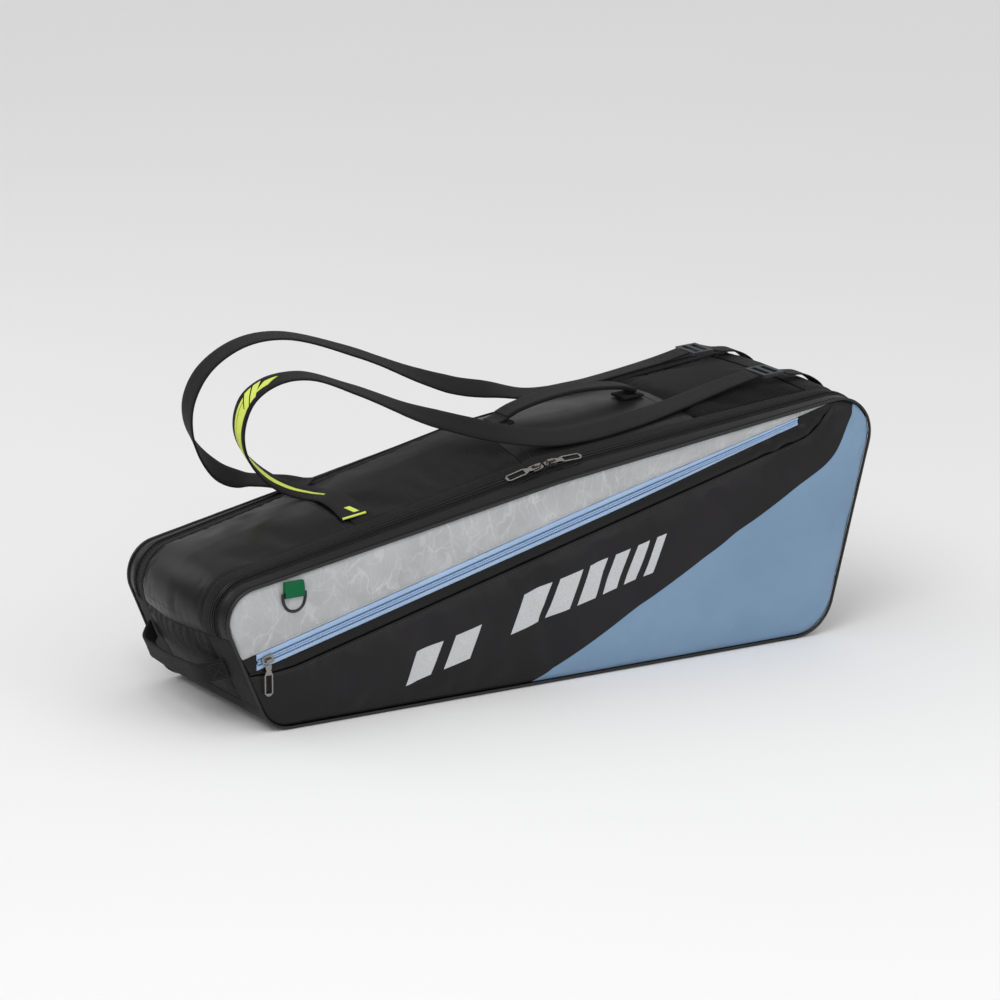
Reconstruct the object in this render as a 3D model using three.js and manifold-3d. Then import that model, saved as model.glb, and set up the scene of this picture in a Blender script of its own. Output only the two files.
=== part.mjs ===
// Racket tournament bag: a long soft case with a domed top, two zipped compartments and a front pocket.
// Millimetres. +X runs from the grip end to the head end, the pocketed face looks towards -Y, +Z is up.
// Shapes are worked out in bag coordinates (x from the nose, y from the middle plane, z from the outline's
// bottom edge), and the finished group is moved so that its origin is the bottom centre of its box.
import * as THREE from "three";
import Module from "manifold-3d";
import { mergeVertices } from "three/addons/utils/BufferGeometryUtils.js";

const wasm = await Module();
wasm.setup();

// ---- driving dimensions ----
const HALF_DEPTH_NOSE = 105; // middle plane to face at the grip end
const DEPTH_TAPER = 0.036; // the bag deepens by this much per millimetre of length, on each side
const CROWN = 36; // rise of the stuffed top over its edges
const CROWN_NOSE = 0.35; // share of the crown at the nose, at the peak, and at the head end
const CROWN_PEAK_X = 385;
const CROWN_HEAD = 0.06;
const CROWN_HEAD_X = 770;
const CROWN_START_Z = 15; // the end panels start to bulge at this height
const CROWN_FULL_Z = 100;
const SKIN = 3; // thickness of the lined gusset and end panels
const SEAM = 0.4; // clearance between two sewn pieces
const END_GAP = 0.6; // clearance between two pieces that follow each other round the outline
const PIPING_R = 2;
const PIPING_CLEAR = 2.6; // gusset edge to the face plane
const FACE_INSET = 3.6; // face panel edge to the outline
const BASE_DROP = 2.2; // the base panel stands this far below the outline
const BASE_END_X = 674; // the flat base ends here and the head end's corner starts

// Side outline: corner points with their rounding radii, anticlockwise from the lower grip corner.
const OUTLINE = [
  { x: 44, z: 0, r: 34 },
  { x: 709, z: 0, r: 45 },
  { x: 776, z: 261.6, r: 40 },
  { x: 385, z: 212, r: 600 },
  { x: -15, z: 143.6, r: 34 },
];
const LONGEST_RUN = 60; // longest straight step between two stations of the outline
const CORNER_STEP = 0.26; // turn between two stations on a corner, in radians

// Distances from a face edge, across the gusset, of the seams on the zip band.
const BAND = { outer: 18.8, teeth: 23.5, inner: 28.2, seam: 41.8 };
const ZIP_END_NOSE_Z = 100;
const ZIP_END_HEAD_Z = 62;
const NOSE_SEAM_Z = 100;
const CROSS_SEAM_X = 170;
const PATCH_START_X = 364;
const PATCH_END_X = 572;
const HEAD_SEAM_X = 712;

const HEAD_FOOT_Z = 36; // the head end's base panel turns up to this height

// Front pocket zip: a straight run across the face, with half the width of its tape and of the strip below.
const POCKET = { x0: 33, z0: 74, x1: 668, z1: 236, tape: 9, binding: 22, teeth: 1.8, sliderX: 41 };
const SHADE_LINE = [{ x: 344, z: 0 }, { x: 713, z: 192 }]; // where the dark face meets the blue one

// Depths behind the face plane of the face's skin and of the padding behind it.
const FACE_SKIN = [0.3, 3.1];
const FACE_PADDING = [3.5, 7.5];
const DIVIDER = { thick: 3, inset: 4.5 };

const MAIN_SLIDER_X = { front: 378, rear: 545 };
const STRAP_WIDTH = 28;
const STRAP_THICK = 2.4;

const COLOURS = {
  pu: [0x2c2d2e, 0.45, 0],
  nylon: [0x1b1b1d, 0.8, 0],
  mesh: [0x19191b, 0.9, 0],
  face: [0x2a2729, 0.5, 0],
  blue: [0x7a98b6, 0.5, 0],
  grey: [0xaaacac, 0.6, 0],
  tape: [0xa5c3e4, 0.7, 0],
  piping: [0x101012, 0.5, 0],
  webbing: [0x151517, 0.85, 0],
  metal: [0x8d8b86, 0.35, 1],
  darkMetal: [0x2e3033, 0.4, 1],
  plastic: [0x2b2d30, 0.5, 0],
  green: [0x1e915a, 0.8, 0],
  lining: [0x3a3b3d, 0.9, 0],
};

// ---- meshes ----
const bag = new THREE.Group();

function material(key) {
  const [color, roughness, metalness] = COLOURS[key];
  return new THREE.MeshStandardMaterial({ color, roughness, metalness });
}

function addMesh(name, geometry, key) {
  const mesh = new THREE.Mesh(geometry, material(key));
  mesh.name = name;
  bag.add(mesh);
}

function signedVolume(points, triangles) {
  let sum = 0;
  for (const [a, b, c] of triangles) {
    sum += points[a].dot(new THREE.Vector3().crossVectors(points[b], points[c]));
  }
  return sum;
}

function solidGeometry(points, triangles) {
  const faces = signedVolume(points, triangles) < 0 ? triangles.map(([a, b, c]) => [a, c, b]) : triangles;
  const geometry = new THREE.BufferGeometry();
  const numbers = points.flatMap((p) => [p.x, p.y, p.z]);
  geometry.setAttribute("position", new THREE.Float32BufferAttribute(numbers, 3));
  geometry.setIndex(faces.flat());
  return geometry;
}

// Joins a row of closed sections into one solid. Every section has the same even number of points, ordered
// so that point k faces point n-1-k across the section.
function loft(sections, closed = false) {
  const count = sections[0].length;
  const triangles = [];
  const last = closed ? sections.length : sections.length - 1;
  for (let i = 0; i < last; i++) {
    const a = i * count;
    const b = ((i + 1) % sections.length) * count;
    for (let j = 0; j < count; j++) {
      const k = (j + 1) % count;
      triangles.push([a + j, a + k, b + j], [a + k, b + k, b + j]);
    }
  }
  if (!closed) {
    const end = (sections.length - 1) * count;
    for (let j = 0; j < count / 2 - 1; j++) {
      const far = count - 1 - j;
      triangles.push([j, far, j + 1], [far, far - 1, j + 1]);
      triangles.push([end + j, end + j + 1, end + far], [end + far, end + j + 1, end + far - 1]);
    }
  }
  return solidGeometry(sections.flat(), triangles);
}

function toManifold(geometry) {
  const bare = geometry.clone();
  bare.deleteAttribute("normal");
  bare.deleteAttribute("uv");
  const merged = mergeVertices(bare, 1e-4);
  return new wasm.Manifold(new wasm.Mesh({
    numProp: 3,
    vertProperties: new Float32Array(merged.attributes.position.array),
    triVerts: new Uint32Array(merged.index.array),
  }));
}

function joined(geometries) {
  let body = toManifold(geometries[0]);
  for (const geometry of geometries.slice(1)) {
    body = body.add(toManifold(geometry));
  }
  const mesh = body.getMesh();
  const result = new THREE.BufferGeometry();
  result.setAttribute("position", new THREE.Float32BufferAttribute(mesh.vertProperties, 3));
  result.setIndex(Array.from(mesh.triVerts));
  return result;
}

// ---- the outline and the surfaces that follow it ----
function smooth(t) {
  const c = Math.min(Math.max(t, 0), 1);
  return c * c * (3 - 2 * c);
}

function roundedCorner(before, corner, after) {
  const p = new THREE.Vector2(corner.x, corner.z);
  const a = new THREE.Vector2(before.x, before.z).sub(p).normalize();
  const b = new THREE.Vector2(after.x, after.z).sub(p).normalize();
  const half = Math.acos(a.dot(b)) / 2;
  const centre = p.clone().addScaledVector(a.clone().add(b).normalize(), corner.r / Math.sin(half));
  const start = p.clone().addScaledVector(a, corner.r / Math.tan(half)).sub(centre).angle();
  const sweep = Math.PI - 2 * half;
  const steps = Math.max(2, Math.round(sweep / CORNER_STEP));
  const stations = [];
  for (let k = 0; k <= steps; k++) {
    const angle = start + (sweep * k) / steps;
    const nx = Math.cos(angle);
    const nz = Math.sin(angle);
    stations.push({ x: centre.x + corner.r * nx, z: centre.y + corner.r * nz, nx, nz });
  }
  return stations;
}

function between(a, b, t) {
  const mix = (key) => a[key] + (b[key] - a[key]) * t;
  return { x: mix("x"), z: mix("z"), nx: mix("nx"), nz: mix("nz"), s: mix("s") };
}

function outlineStations() {
  const bare = OUTLINE.flatMap((corner, i) => {
    const next = OUTLINE[(i + 1) % OUTLINE.length];
    return roundedCorner(OUTLINE.at(i - 1), corner, next);
  });
  const stations = [];
  bare.forEach((station, i) => {
    const next = bare[(i + 1) % bare.length];
    const steps = Math.ceil(Math.hypot(next.x - station.x, next.z - station.z) / LONGEST_RUN);
    for (let k = 0; k < steps; k++) {
      stations.push(between(station, next, k / steps));
    }
  });
  let s = 0;
  stations.forEach((station, i) => {
    if (i > 0) {
      s += Math.hypot(station.x - stations[i - 1].x, station.z - stations[i - 1].z);
    }
    station.s = s;
  });
  const first = stations[0];
  const end = stations.at(-1);
  stations.push({ ...first, s: s + Math.hypot(first.x - end.x, first.z - end.z) });
  return stations;
}

const STATIONS = outlineStations();
const ROUND = STATIONS.at(-1).s;

// The distance along the outline where it passes a value of x or z, on the stretch that a test picks.
function placeOf(key, value, onStretch) {
  for (let i = 0; i < STATIONS.length - 1; i++) {
    const a = STATIONS[i];
    const b = STATIONS[i + 1];
    const low = Math.min(a[key], b[key]);
    const high = Math.max(a[key], b[key]);
    if (onStretch(a) && onStretch(b) && low <= value && value <= high) {
      return a.s + ((b.s - a.s) * (value - a[key])) / (b[key] - a[key]);
    }
  }
  throw new Error(`the outline has no ${key} = ${value} there`);
}

const topAt = (x) => placeOf("x", x, (p) => p.nz > 0.1);
const noseAt = (z) => placeOf("z", z, (p) => p.nx < -0.6);
const headAt = (z) => placeOf("z", z, (p) => p.nx > 0.6);

function stationAt(s) {
  const i = STATIONS.findIndex((station, k) => k > 0 && station.s >= s);
  const a = STATIONS[i - 1];
  const b = STATIONS[i];
  return between(a, b, (s - a.s) / (b.s - a.s));
}

function stationsBetween(s0, s1) {
  const inside = STATIONS.filter((station) => station.s > s0 + 1 && station.s < s1 - 1);
  return [stationAt(s0), ...inside, stationAt(s1)];
}

const halfDepth = (x) => HALF_DEPTH_NOSE + DEPTH_TAPER * x;

// Pairs of a distance from the face edge and the share of the crown reached there.
const CROSS = [[0, 0], [10, 0.14], [22, 0.29], [42, 0.48], [80, 0.8], [120, 0.98], [140, 1]];

function crossRise(v) {
  const i = Math.max(1, CROSS.findIndex(([at]) => at >= v));
  const [v0, c0] = CROSS[i - 1];
  const [v1, c1] = CROSS[i];
  return c0 + ((c1 - c0) * (v - v0)) / (v1 - v0);
}

function crownShare(station) {
  const rising = CROWN_NOSE + (1 - CROWN_NOSE) * Math.max(0, station.x) / CROWN_PEAK_X;
  const falling = 1 - (1 - CROWN_HEAD) * (station.x - CROWN_PEAK_X) / (CROWN_HEAD_X - CROWN_PEAK_X);
  const along = station.x < CROWN_PEAK_X ? rising : falling;
  return along * smooth((station.z - CROWN_START_Z) / (CROWN_FULL_Z - CROWN_START_Z));
}

const crownAt = (station, v) => CROWN * crownShare(station) * crossRise(v);

const onRing = (station, y, out) => new THREE.Vector3(
  station.x + station.nx * out,
  y,
  station.z + station.nz * out,
);

// A piece of the gusset: it follows the outline from s0 to s1, and crosses it at the given list of depths.
// depthsAt gives [y, distance from the nearer face] pairs for a station.
function ringPiece(name, key, s0, s1, depthsAt, lift = 0, drop = 0) {
  const sections = stationsBetween(s0, s1).map((station) => {
    const across = depthsAt(station);
    const outer = across.map(([y, v]) => onRing(station, y, crownAt(station, v) + lift + drop));
    const inner = across.map(([y, v]) => onRing(station, y, crownAt(station, v) - SKIN + drop));
    return [...outer, ...inner.reverse()];
  });
  addMesh(name, loft(sections), key);
}

const bandDepths = (side, from, to) => (station) => {
  const steps = to - from > 12 ? [from, (from + to) / 2, to] : [from, to];
  return steps.map((v) => [side * (halfDepth(station.x) - v), v]);
};

const middleDepths = (edge) => (station) => {
  const half = halfDepth(station.x);
  const inward = [edge, 80, half].filter((v, i) => i === 0 || v > edge + 10);
  const front = inward.map((v) => [-(half - v), v]);
  const rear = inward.slice(0, -1).reverse().map((v) => [half - v, v]);
  return [...front, ...rear];
};

// ---- flat face panels ----
function insetOutline(inset) {
  return STATIONS.slice(0, -1).map((p) => ({ x: p.x - p.nx * inset, z: p.z - p.nz * inset }));
}

// Keeps the part of a convex polygon on the left of the line from a to b.
function leftOf(polygon, a, b) {
  const side = (p) => (b.x - a.x) * (p.z - a.z) - (b.z - a.z) * (p.x - a.x);
  const kept = [];
  polygon.forEach((p, i) => {
    const q = polygon[(i + 1) % polygon.length];
    const sp = side(p);
    const sq = side(q);
    if (sp >= 0) {
      kept.push(p);
    }
    if (sp * sq < 0) {
      const t = sp / (sp - sq);
      kept.push({ x: p.x + (q.x - p.x) * t, z: p.z + (q.z - p.z) * t });
    }
  });
  return kept;
}

const rightOf = (polygon, a, b) => leftOf(polygon, b, a);

// A plate with a convex outline, between two layers of it whose depths are given by functions of x.
function plate(name, key, polygon, depths) {
  const count = polygon.length;
  const layers = depths.flatMap((depth) => polygon.map((p) => new THREE.Vector3(p.x, depth(p.x), p.z)));
  const triangles = [];
  for (let i = 0; i < count; i++) {
    const k = (i + 1) % count;
    triangles.push([i, k, count + i], [k, count + k, count + i]);
  }
  for (let i = 1; i < count - 1; i++) {
    triangles.push([0, i + 1, i], [count, count + i, count + i + 1]);
  }
  addMesh(name, solidGeometry(layers, triangles), key);
}

// A plate that lies parallel to a face, between two depths behind it.
function facePlate(name, key, polygon, side, depths) {
  plate(name, key, polygon, depths.map((d) => (x) => side * (halfDepth(x) - d)));
}

// ---- swept pieces ----
function sweepPath(points, closed, sectionAt) {
  const count = points.length;
  return points.map((p, i) => {
    const before = closed ? points.at(i - 1) : points[Math.max(i - 1, 0)];
    const after = closed ? points[(i + 1) % count] : points[Math.min(i + 1, count - 1)];
    const along = after.clone().sub(before).normalize();
    return sectionAt(p, along, i / (count - 1));
  });
}

// A round bar of radius r along a path, with a given number of sides.
function roundBar(points, r, sides, closed, up) {
  return loft(sweepPath(points, closed, (p, along) => {
    const a = new THREE.Vector3().crossVectors(along, up).normalize();
    const b = new THREE.Vector3().crossVectors(a, along).normalize();
    return Array.from({ length: sides }, (_, k) => {
      const angle = ((k + 0.5) * 2 * Math.PI) / sides;
      return p.clone().addScaledVector(a, r * Math.cos(angle)).addScaledVector(b, r * Math.sin(angle));
    });
  }), closed);
}

// Flat webbing along a route of [x, y, z] entries.
// acrossAt gives the direction of its width at t, which runs from 0 to 1.
function webbing(route, width, thick, steps, acrossAt) {
  const knots = route.map(([x, y, z]) => new THREE.Vector3(x, y, z));
  const points = new THREE.CatmullRomCurve3(knots, false, "centripetal").getPoints(steps);
  return loft(sweepPath(points, false, (p, along, t) => {
    const across = acrossAt(t);
    across.addScaledVector(along, -across.dot(along)).setLength(width / 2);
    const up = new THREE.Vector3().crossVectors(along, across).setLength(thick / 2);
    const corner = (a, b) => p.clone().addScaledVector(across, a).addScaledVector(up, b);
    return [corner(-1, 1), corner(1, 1), corner(1, -1), corner(-1, -1)];
  }));
}

// ---- faces, zips and gussets ----
const SIDES = { front: -1, rear: 1 };

// A line parallel to the pocket's zip, this far above it.
function pocketLine(offset) {
  return [{ x: POCKET.x0, z: POCKET.z0 + offset }, { x: POCKET.x1, z: POCKET.z1 + offset }];
}

const upright = (x) => [{ x, z: 0 }, { x, z: 300 }];

// The dark part and the blue part of a face, which meet along the shade line.
function twoShades(name, polygon, side) {
  const pastShade = SHADE_LINE.map((p) => ({ x: p.x + 2 * SEAM, z: p.z }));
  facePlate(`${name}_panel_dark`, "face", leftOf(polygon, ...SHADE_LINE), side, FACE_SKIN);
  facePlate(`${name}_panel_blue`, "blue", rightOf(polygon, ...pastShade), side, FACE_SKIN);
}

function frontFace() {
  const whole = insetOutline(FACE_INSET);
  const panel = (name, key, polygon) => facePlate(name, key, polygon, SIDES.front, FACE_SKIN);
  const overTape = pocketLine(POCKET.tape + SEAM);
  const tapeTop = pocketLine(POCKET.tape);
  const tapeBottom = pocketLine(-POCKET.tape);
  const underTape = pocketLine(-POCKET.tape - SEAM);
  const bindingBottom = pocketLine(-POCKET.binding);
  const underBinding = pocketLine(-POCKET.binding - SEAM);
  const ends = [POCKET.x0 - 3, POCKET.x1 + 4];
  panel("pocket_panel", "grey", leftOf(whole, ...overTape));
  const band = rightOf(leftOf(whole, ...tapeBottom), ...tapeTop);
  panel("pocket_zip_end_grip", "nylon", leftOf(band, ...upright(ends[0] - SEAM)));
  panel("pocket_zip_end_head", "nylon", rightOf(band, ...upright(ends[1] + SEAM)));
  const tape = leftOf(rightOf(band, ...upright(ends[0])), ...upright(ends[1]));
  const teethTop = pocketLine(POCKET.teeth);
  const teethBottom = pocketLine(-POCKET.teeth);
  panel("pocket_zip_tape_lower", "tape", rightOf(tape, ...pocketLine(-POCKET.teeth - SEAM)));
  panel("pocket_zip_coil", "tape", leftOf(rightOf(tape, ...teethTop), ...teethBottom));
  panel("pocket_zip_tape_upper", "tape", leftOf(tape, ...pocketLine(POCKET.teeth + SEAM)));
  panel("pocket_binding", "nylon", leftOf(rightOf(whole, ...underTape), ...bindingBottom));
  twoShades("front", rightOf(whole, ...underBinding), SIDES.front);
  facePlate("front_padding", "lining", whole, SIDES.front, FACE_PADDING);
}

function rearFace() {
  const whole = insetOutline(FACE_INSET);
  twoShades("rear", whole, SIDES.rear);
  facePlate("rear_padding", "lining", whole, SIDES.rear, FACE_PADDING);
}

function piping(name, side) {
  const points = STATIONS.slice(0, -1).map((p) => new THREE.Vector3(p.x, side * halfDepth(p.x), p.z));
  addMesh(name, roundBar(points, PIPING_R, 6, true, new THREE.Vector3(0, 1, 0)), "piping");
}

function zipBand(name, side) {
  const from = headAt(ZIP_END_HEAD_Z);
  const to = noseAt(ZIP_END_NOSE_Z);
  const strips = [
    ["flap_gusset", "nylon", PIPING_CLEAR, BAND.outer - SEAM / 2, 0],
    ["zip_flap_side", "nylon", BAND.outer + SEAM / 2, BAND.teeth - SEAM / 2, 1],
    ["zip_bag_side", "nylon", BAND.teeth + SEAM / 2, BAND.inner - SEAM / 2, 1],
    ["bag_gusset", "nylon", BAND.inner + SEAM / 2, BAND.seam - SEAM / 2, 0],
  ];
  for (const [part, key, v0, v1, lift] of strips) {
    ringPiece(`${name}_${part}`, key, from, to, bandDepths(side, v0, v1), lift);
  }
  const foot = bandDepths(side, PIPING_CLEAR, BAND.seam - SEAM / 2);
  ringPiece(`${name}_gusset_foot_head`, "nylon", headAt(HEAD_FOOT_Z), from - END_GAP, foot);
  ringPiece(`${name}_gusset_foot_grip`, "nylon", to + END_GAP, ROUND - END_GAP / 2, foot);
}

function middlePanels() {
  const edge = BAND.seam + SEAM / 2;
  const seams = [
    ["head_end_panel", "nylon", headAt(HEAD_FOOT_Z), topAt(HEAD_SEAM_X)],
    ["back_pad", "mesh", topAt(HEAD_SEAM_X), topAt(PATCH_END_X)],
    ["handle_patch", "pu", topAt(PATCH_END_X), topAt(PATCH_START_X)],
    ["top_panel_ripstop", "nylon", topAt(PATCH_START_X), topAt(CROSS_SEAM_X)],
    ["top_panel_grip", "pu", topAt(CROSS_SEAM_X), noseAt(NOSE_SEAM_Z)],
    ["grip_end_panel", "nylon", noseAt(NOSE_SEAM_Z), ROUND],
  ];
  for (const [name, key, s0, s1] of seams) {
    ringPiece(name, key, s0 + END_GAP / 2, s1 - END_GAP / 2, middleDepths(edge));
  }
}

function basePanels() {
  const whole = middleDepths(PIPING_CLEAR);
  const gripCorner = STATIONS.find((p) => p.nz < -0.999).s;
  const headCorner = placeOf("x", BASE_END_X, (p) => p.nz < -0.99);
  const gap = END_GAP / 2;
  ringPiece("grip_end_base", "pu", 0, gripCorner - gap, whole);
  ringPiece("base_panel", "pu", gripCorner + gap, headCorner - gap, whole, 0, BASE_DROP);
  ringPiece("head_end_base", "pu", headCorner + gap, headAt(HEAD_FOOT_Z) - END_GAP, whole);
}

function divider() {
  const half = DIVIDER.thick / 2;
  plate("compartment_divider", "lining", insetOutline(DIVIDER.inset), [() => -half, () => half]);
}

frontFace();
rearFace();
for (const [name, side] of Object.entries(SIDES)) {
  piping(`${name}_piping`, side);
  zipBand(name, side);
}
middlePanels();
basePanels();
divider();

// ---- sliders and their pulls ----
// A slider is made lying on the XY plane, its pull pointing towards +X, and set on its zip by a matrix.
const SLIDER = { length: 13, width: 8.6, height: 2.6, bail: 2.6, bailGap: 2.6, bar: 1.3 };
// A pull has an eye, a waist and a long loop round a slot.
// droop tips the loop down towards the zip, in degrees.
const PULL = {
  length: 38, width: 9.6, thick: 1.5, droop: 4.5, eye: 3.4, eyeEnd: 8, waist: 2.6, waistX: 11,
  loopX: 16, bevel: 3, rail: 1.6,
};

function extruded(shape, depth) {
  return new THREE.ExtrudeGeometry(shape, { depth, bevelEnabled: false, curveSegments: 6 });
}

// An outline always runs anticlockwise, so that its holes are wound the other way.
function polygonShape(points) {
  const outline = points.map(([x, y]) => new THREE.Vector2(x, y));
  return new THREE.Shape(THREE.ShapeUtils.isClockWise(outline) ? outline.reverse() : outline);
}

function sliderGeometry() {
  const { length, width, height, bail, bailGap } = SLIDER;
  const wide = width / 2;
  const narrow = wide * 0.62;
  const body = extruded(polygonShape([
    [-length / 2, -narrow], [-1, -wide], [length / 2, -wide],
    [length / 2, wide], [-1, wide], [-length / 2, narrow],
  ]), height);
  const archTop = height + bailGap + 1.2;
  const arch = polygonShape([[-4.6, height - 0.4], [-3.4, archTop], [3.4, archTop], [4.6, height - 0.4]]);
  arch.holes.push(new THREE.Path([
    [-3, height], [-2.4, height + bailGap], [2.4, height + bailGap], [3, height],
  ].map(([x, y]) => new THREE.Vector2(x, y))));
  const bridge = extruded(arch, bail);
  bridge.rotateX(Math.PI / 2);
  bridge.translate(0, bail / 2, 0);
  return joined([body, bridge]);
}

// The plate of a pull that starts at a distance from its slider, with the slot in its loop and other holes.
function pullPlate(start, eyeEnd, holes) {
  const { length, width, thick, eye, waist, waistX, loopX, bevel, rail } = PULL;
  const half = width / 2;
  const shape = polygonShape([
    [start, -eye], [eyeEnd, -eye], [waistX, -waist], [loopX, -half], [length - bevel, -half],
    [length, -half + bevel], [length, half - bevel], [length - bevel, half], [loopX, half], [waistX, waist],
    [eyeEnd, eye], [start, eye],
  ]);
  const far = length - bevel;
  const side = half - rail;
  const slot = [[loopX, -side], [far, -side], [far, side], [loopX, side]];
  for (const hole of [...holes, slot]) {
    shape.holes.push(new THREE.Path(hole.map(([x, y]) => new THREE.Vector2(x, y))));
  }
  return extruded(shape, thick);
}

// A main zip's pull: its eye goes round the slider's bail.
function pullGeometry() {
  const near = SLIDER.bar / 2;
  const eyeHole = [[near, -1.9], [6.6, -1.9], [6.6, 1.9], [near, 1.9]];
  const pull = pullPlate(-near, PULL.eyeEnd, [eyeHole]);
  pull.translate(0, 0, -PULL.thick / 2);
  pull.rotateY(THREE.MathUtils.degToRad(PULL.droop));
  pull.translate(0, 0, SLIDER.height + SLIDER.bailGap / 2);
  return pull;
}

function placed(geometry, origin, along, out) {
  const across = new THREE.Vector3().crossVectors(out, along).normalize();
  const flat = new THREE.Vector3().crossVectors(along, across).normalize();
  geometry.applyMatrix4(new THREE.Matrix4().makeBasis(along, across, flat).setPosition(origin));
  return geometry;
}

// A point on a zip's teeth line, at a height above the teeth.
function onZip(side, x, height) {
  const station = stationAt(topAt(x));
  return onRing(station, side * (halfDepth(station.x) - BAND.teeth), crownAt(station, BAND.teeth) + height);
}

const SLIDER_LIFT = 1.8; // a main slider's underside over its teeth line
const POCKET_LIFT = 0.9; // the pocket slider's underside over the face plane
const SLIDER_PAIR_GAP = 7.2; // half the distance between the two sliders that meet

function mainSliders(name, side) {
  for (const [end, step] of [["grip", -1], ["head", 1]]) {
    const x = MAIN_SLIDER_X[name] + step * SLIDER_PAIR_GAP;
    const here = onZip(side, x, SLIDER_LIFT);
    const along = onZip(side, x + step * 120, SLIDER_LIFT).sub(here).normalize();
    const station = stationAt(topAt(x));
    const slope = crownAt(station, BAND.inner) - crownAt(station, BAND.outer);
    const out = new THREE.Vector3(0, (side * slope) / (BAND.inner - BAND.outer), 1).normalize();
    addMesh(`${name}_slider_${end}`, placed(sliderGeometry(), here, along, out), "metal");
    addMesh(`${name}_pull_${end}`, placed(pullGeometry(), here, along, out), "metal");
  }
}

// The pocket's slider sits at the grip end of its zip. Its pull hangs straight down from below the bail.
function pocketSlider() {
  const x = POCKET.sliderX;
  const slope = (POCKET.z1 - POCKET.z0) / (POCKET.x1 - POCKET.x0);
  const height = POCKET.z0 + slope * (x - POCKET.x0);
  const origin = new THREE.Vector3(x, -(halfDepth(x) + POCKET_LIFT), height);
  const out = new THREE.Vector3(-DEPTH_TAPER, -1, 0).normalize();
  const along = new THREE.Vector3(1, -DEPTH_TAPER, slope).normalize();
  addMesh("pocket_slider", placed(sliderGeometry(), origin, along, out), "metal");
  const pull = pullPlate(5.4, PULL.eyeEnd + 1, []);
  pull.translate(0, 0, SLIDER.height);
  addMesh("pocket_pull", placed(pull, origin, new THREE.Vector3(0, 0, -1), out), "metal");
}

for (const [name, side] of Object.entries(SIDES)) {
  mainSliders(name, side);
}
pocketSlider();

// ---- green tab and its D-ring ----
// The tab is folded round the ring's bar. Its front and back are distances behind the face plane.
const TAB = { x: 71, width: 22, top: 153.4, bar: 141, wire: 1.6, front: -6.6, back: -0.5, stand: 0.44 };

function greenTab() {
  const { front, back } = TAB;
  const low = TAB.bar - 4.2;
  const shape = polygonShape([
    [back, TAB.top], [front + 1.8, TAB.top], [front, TAB.bar + 6], [front, low + 1.5], [front + 1.5, low],
    [back - 1.5, low], [back, low + 1.5],
  ]);
  const tunnelR = TAB.wire + SEAM;
  const tunnel = Array.from({ length: 10 }, (_, k) => {
    const angle = (k * Math.PI) / 5;
    const middle = (front + back) / 2;
    return new THREE.Vector2(middle + tunnelR * Math.cos(angle), TAB.bar + tunnelR * Math.sin(angle));
  });
  shape.holes.push(new THREE.Path(tunnel));
  const geometry = extruded(shape, TAB.width);
  // shape x is the distance behind the face, shape y is height, and the extrusion runs along the bag
  geometry.applyMatrix4(new THREE.Matrix4().makeBasis(
    new THREE.Vector3(0, 1, 0), new THREE.Vector3(0, 0, 1), new THREE.Vector3(1, 0, 0),
  ));
  geometry.translate(TAB.x - TAB.width / 2, -halfDepth(TAB.x - TAB.width / 2) - TAB.stand, 0);
  addMesh("ring_tab", geometry, "green");
}

function dRing() {
  const y = -halfDepth(TAB.x - TAB.width / 2) - TAB.stand + (TAB.front + TAB.back) / 2;
  const half = 13.5;
  const drop = 19;
  const points = [];
  const bar = 6;
  for (let k = 0; k <= bar; k++) {
    points.push(new THREE.Vector3(TAB.x - half + (2 * half * k) / bar, y, TAB.bar));
  }
  const bend = 14;
  for (let k = 1; k < bend; k++) {
    const angle = (Math.PI * k) / bend;
    points.push(new THREE.Vector3(
      TAB.x + half * Math.cos(angle),
      y,
      TAB.bar - drop * Math.sin(angle) ** 0.8,
    ));
  }
  addMesh("d_ring", roundBar(points, TAB.wire, 6, true, new THREE.Vector3(0, 1, 0)), "darkMetal");
}

greenTab();
dRing();

// ---- handles ----
const rearwards = () => new THREE.Vector3(0, 1, 0);

const surfaceAt = (x, y, above) => {
  const station = stationAt(topAt(x));
  return onRing(station, y, crownAt(station, halfDepth(station.x) - Math.abs(y)) + above);
};

// The carry handle's ends stand over its two sewn feet at x0 and x1, and its middle rises further.
const CARRY = { x0: 385, x1: 545, width: 26, thick: 4, rise: 21, stand: 9, foot: 24, footThick: 3 };

function carryHandle() {
  for (const [end, x] of [["grip", CARRY.x0], ["head", CARRY.x1]]) {
    const low = surfaceAt(x, 0, 0.5);
    const along = surfaceAt(x + 10, 0, 0.5).sub(low).normalize();
    const out = new THREE.Vector3(-along.z, 0, along.x);
    const foot = new THREE.BoxGeometry(CARRY.foot, CARRY.width, CARRY.footThick);
    foot.translate(0, 0, CARRY.footThick / 2);
    addMesh(`carry_handle_foot_${end}`, placed(foot, low, along, out), "webbing");
  }
  const rise = (t) => CARRY.stand + (CARRY.rise - CARRY.stand) * Math.sin(Math.PI * t) ** 0.7;
  const route = Array.from({ length: 13 }, (_, k) => {
    const t = k / 12;
    const x = CARRY.x0 + (CARRY.x1 - CARRY.x0) * t;
    const base = surfaceAt(CARRY.x0, 0, 0).lerp(surfaceAt(CARRY.x1, 0, 0), t);
    return [x, 0, base.z + rise(t)];
  });
  const handle = webbing(route, CARRY.width, CARRY.thick, 16, rearwards);
  addMesh("carry_handle", handle, "webbing");
}

const END_HANDLE = { half: 78, width: 22, z: 66, thick: 3, bow: 20, bend: 0.3, stand: 0.8 };

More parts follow.
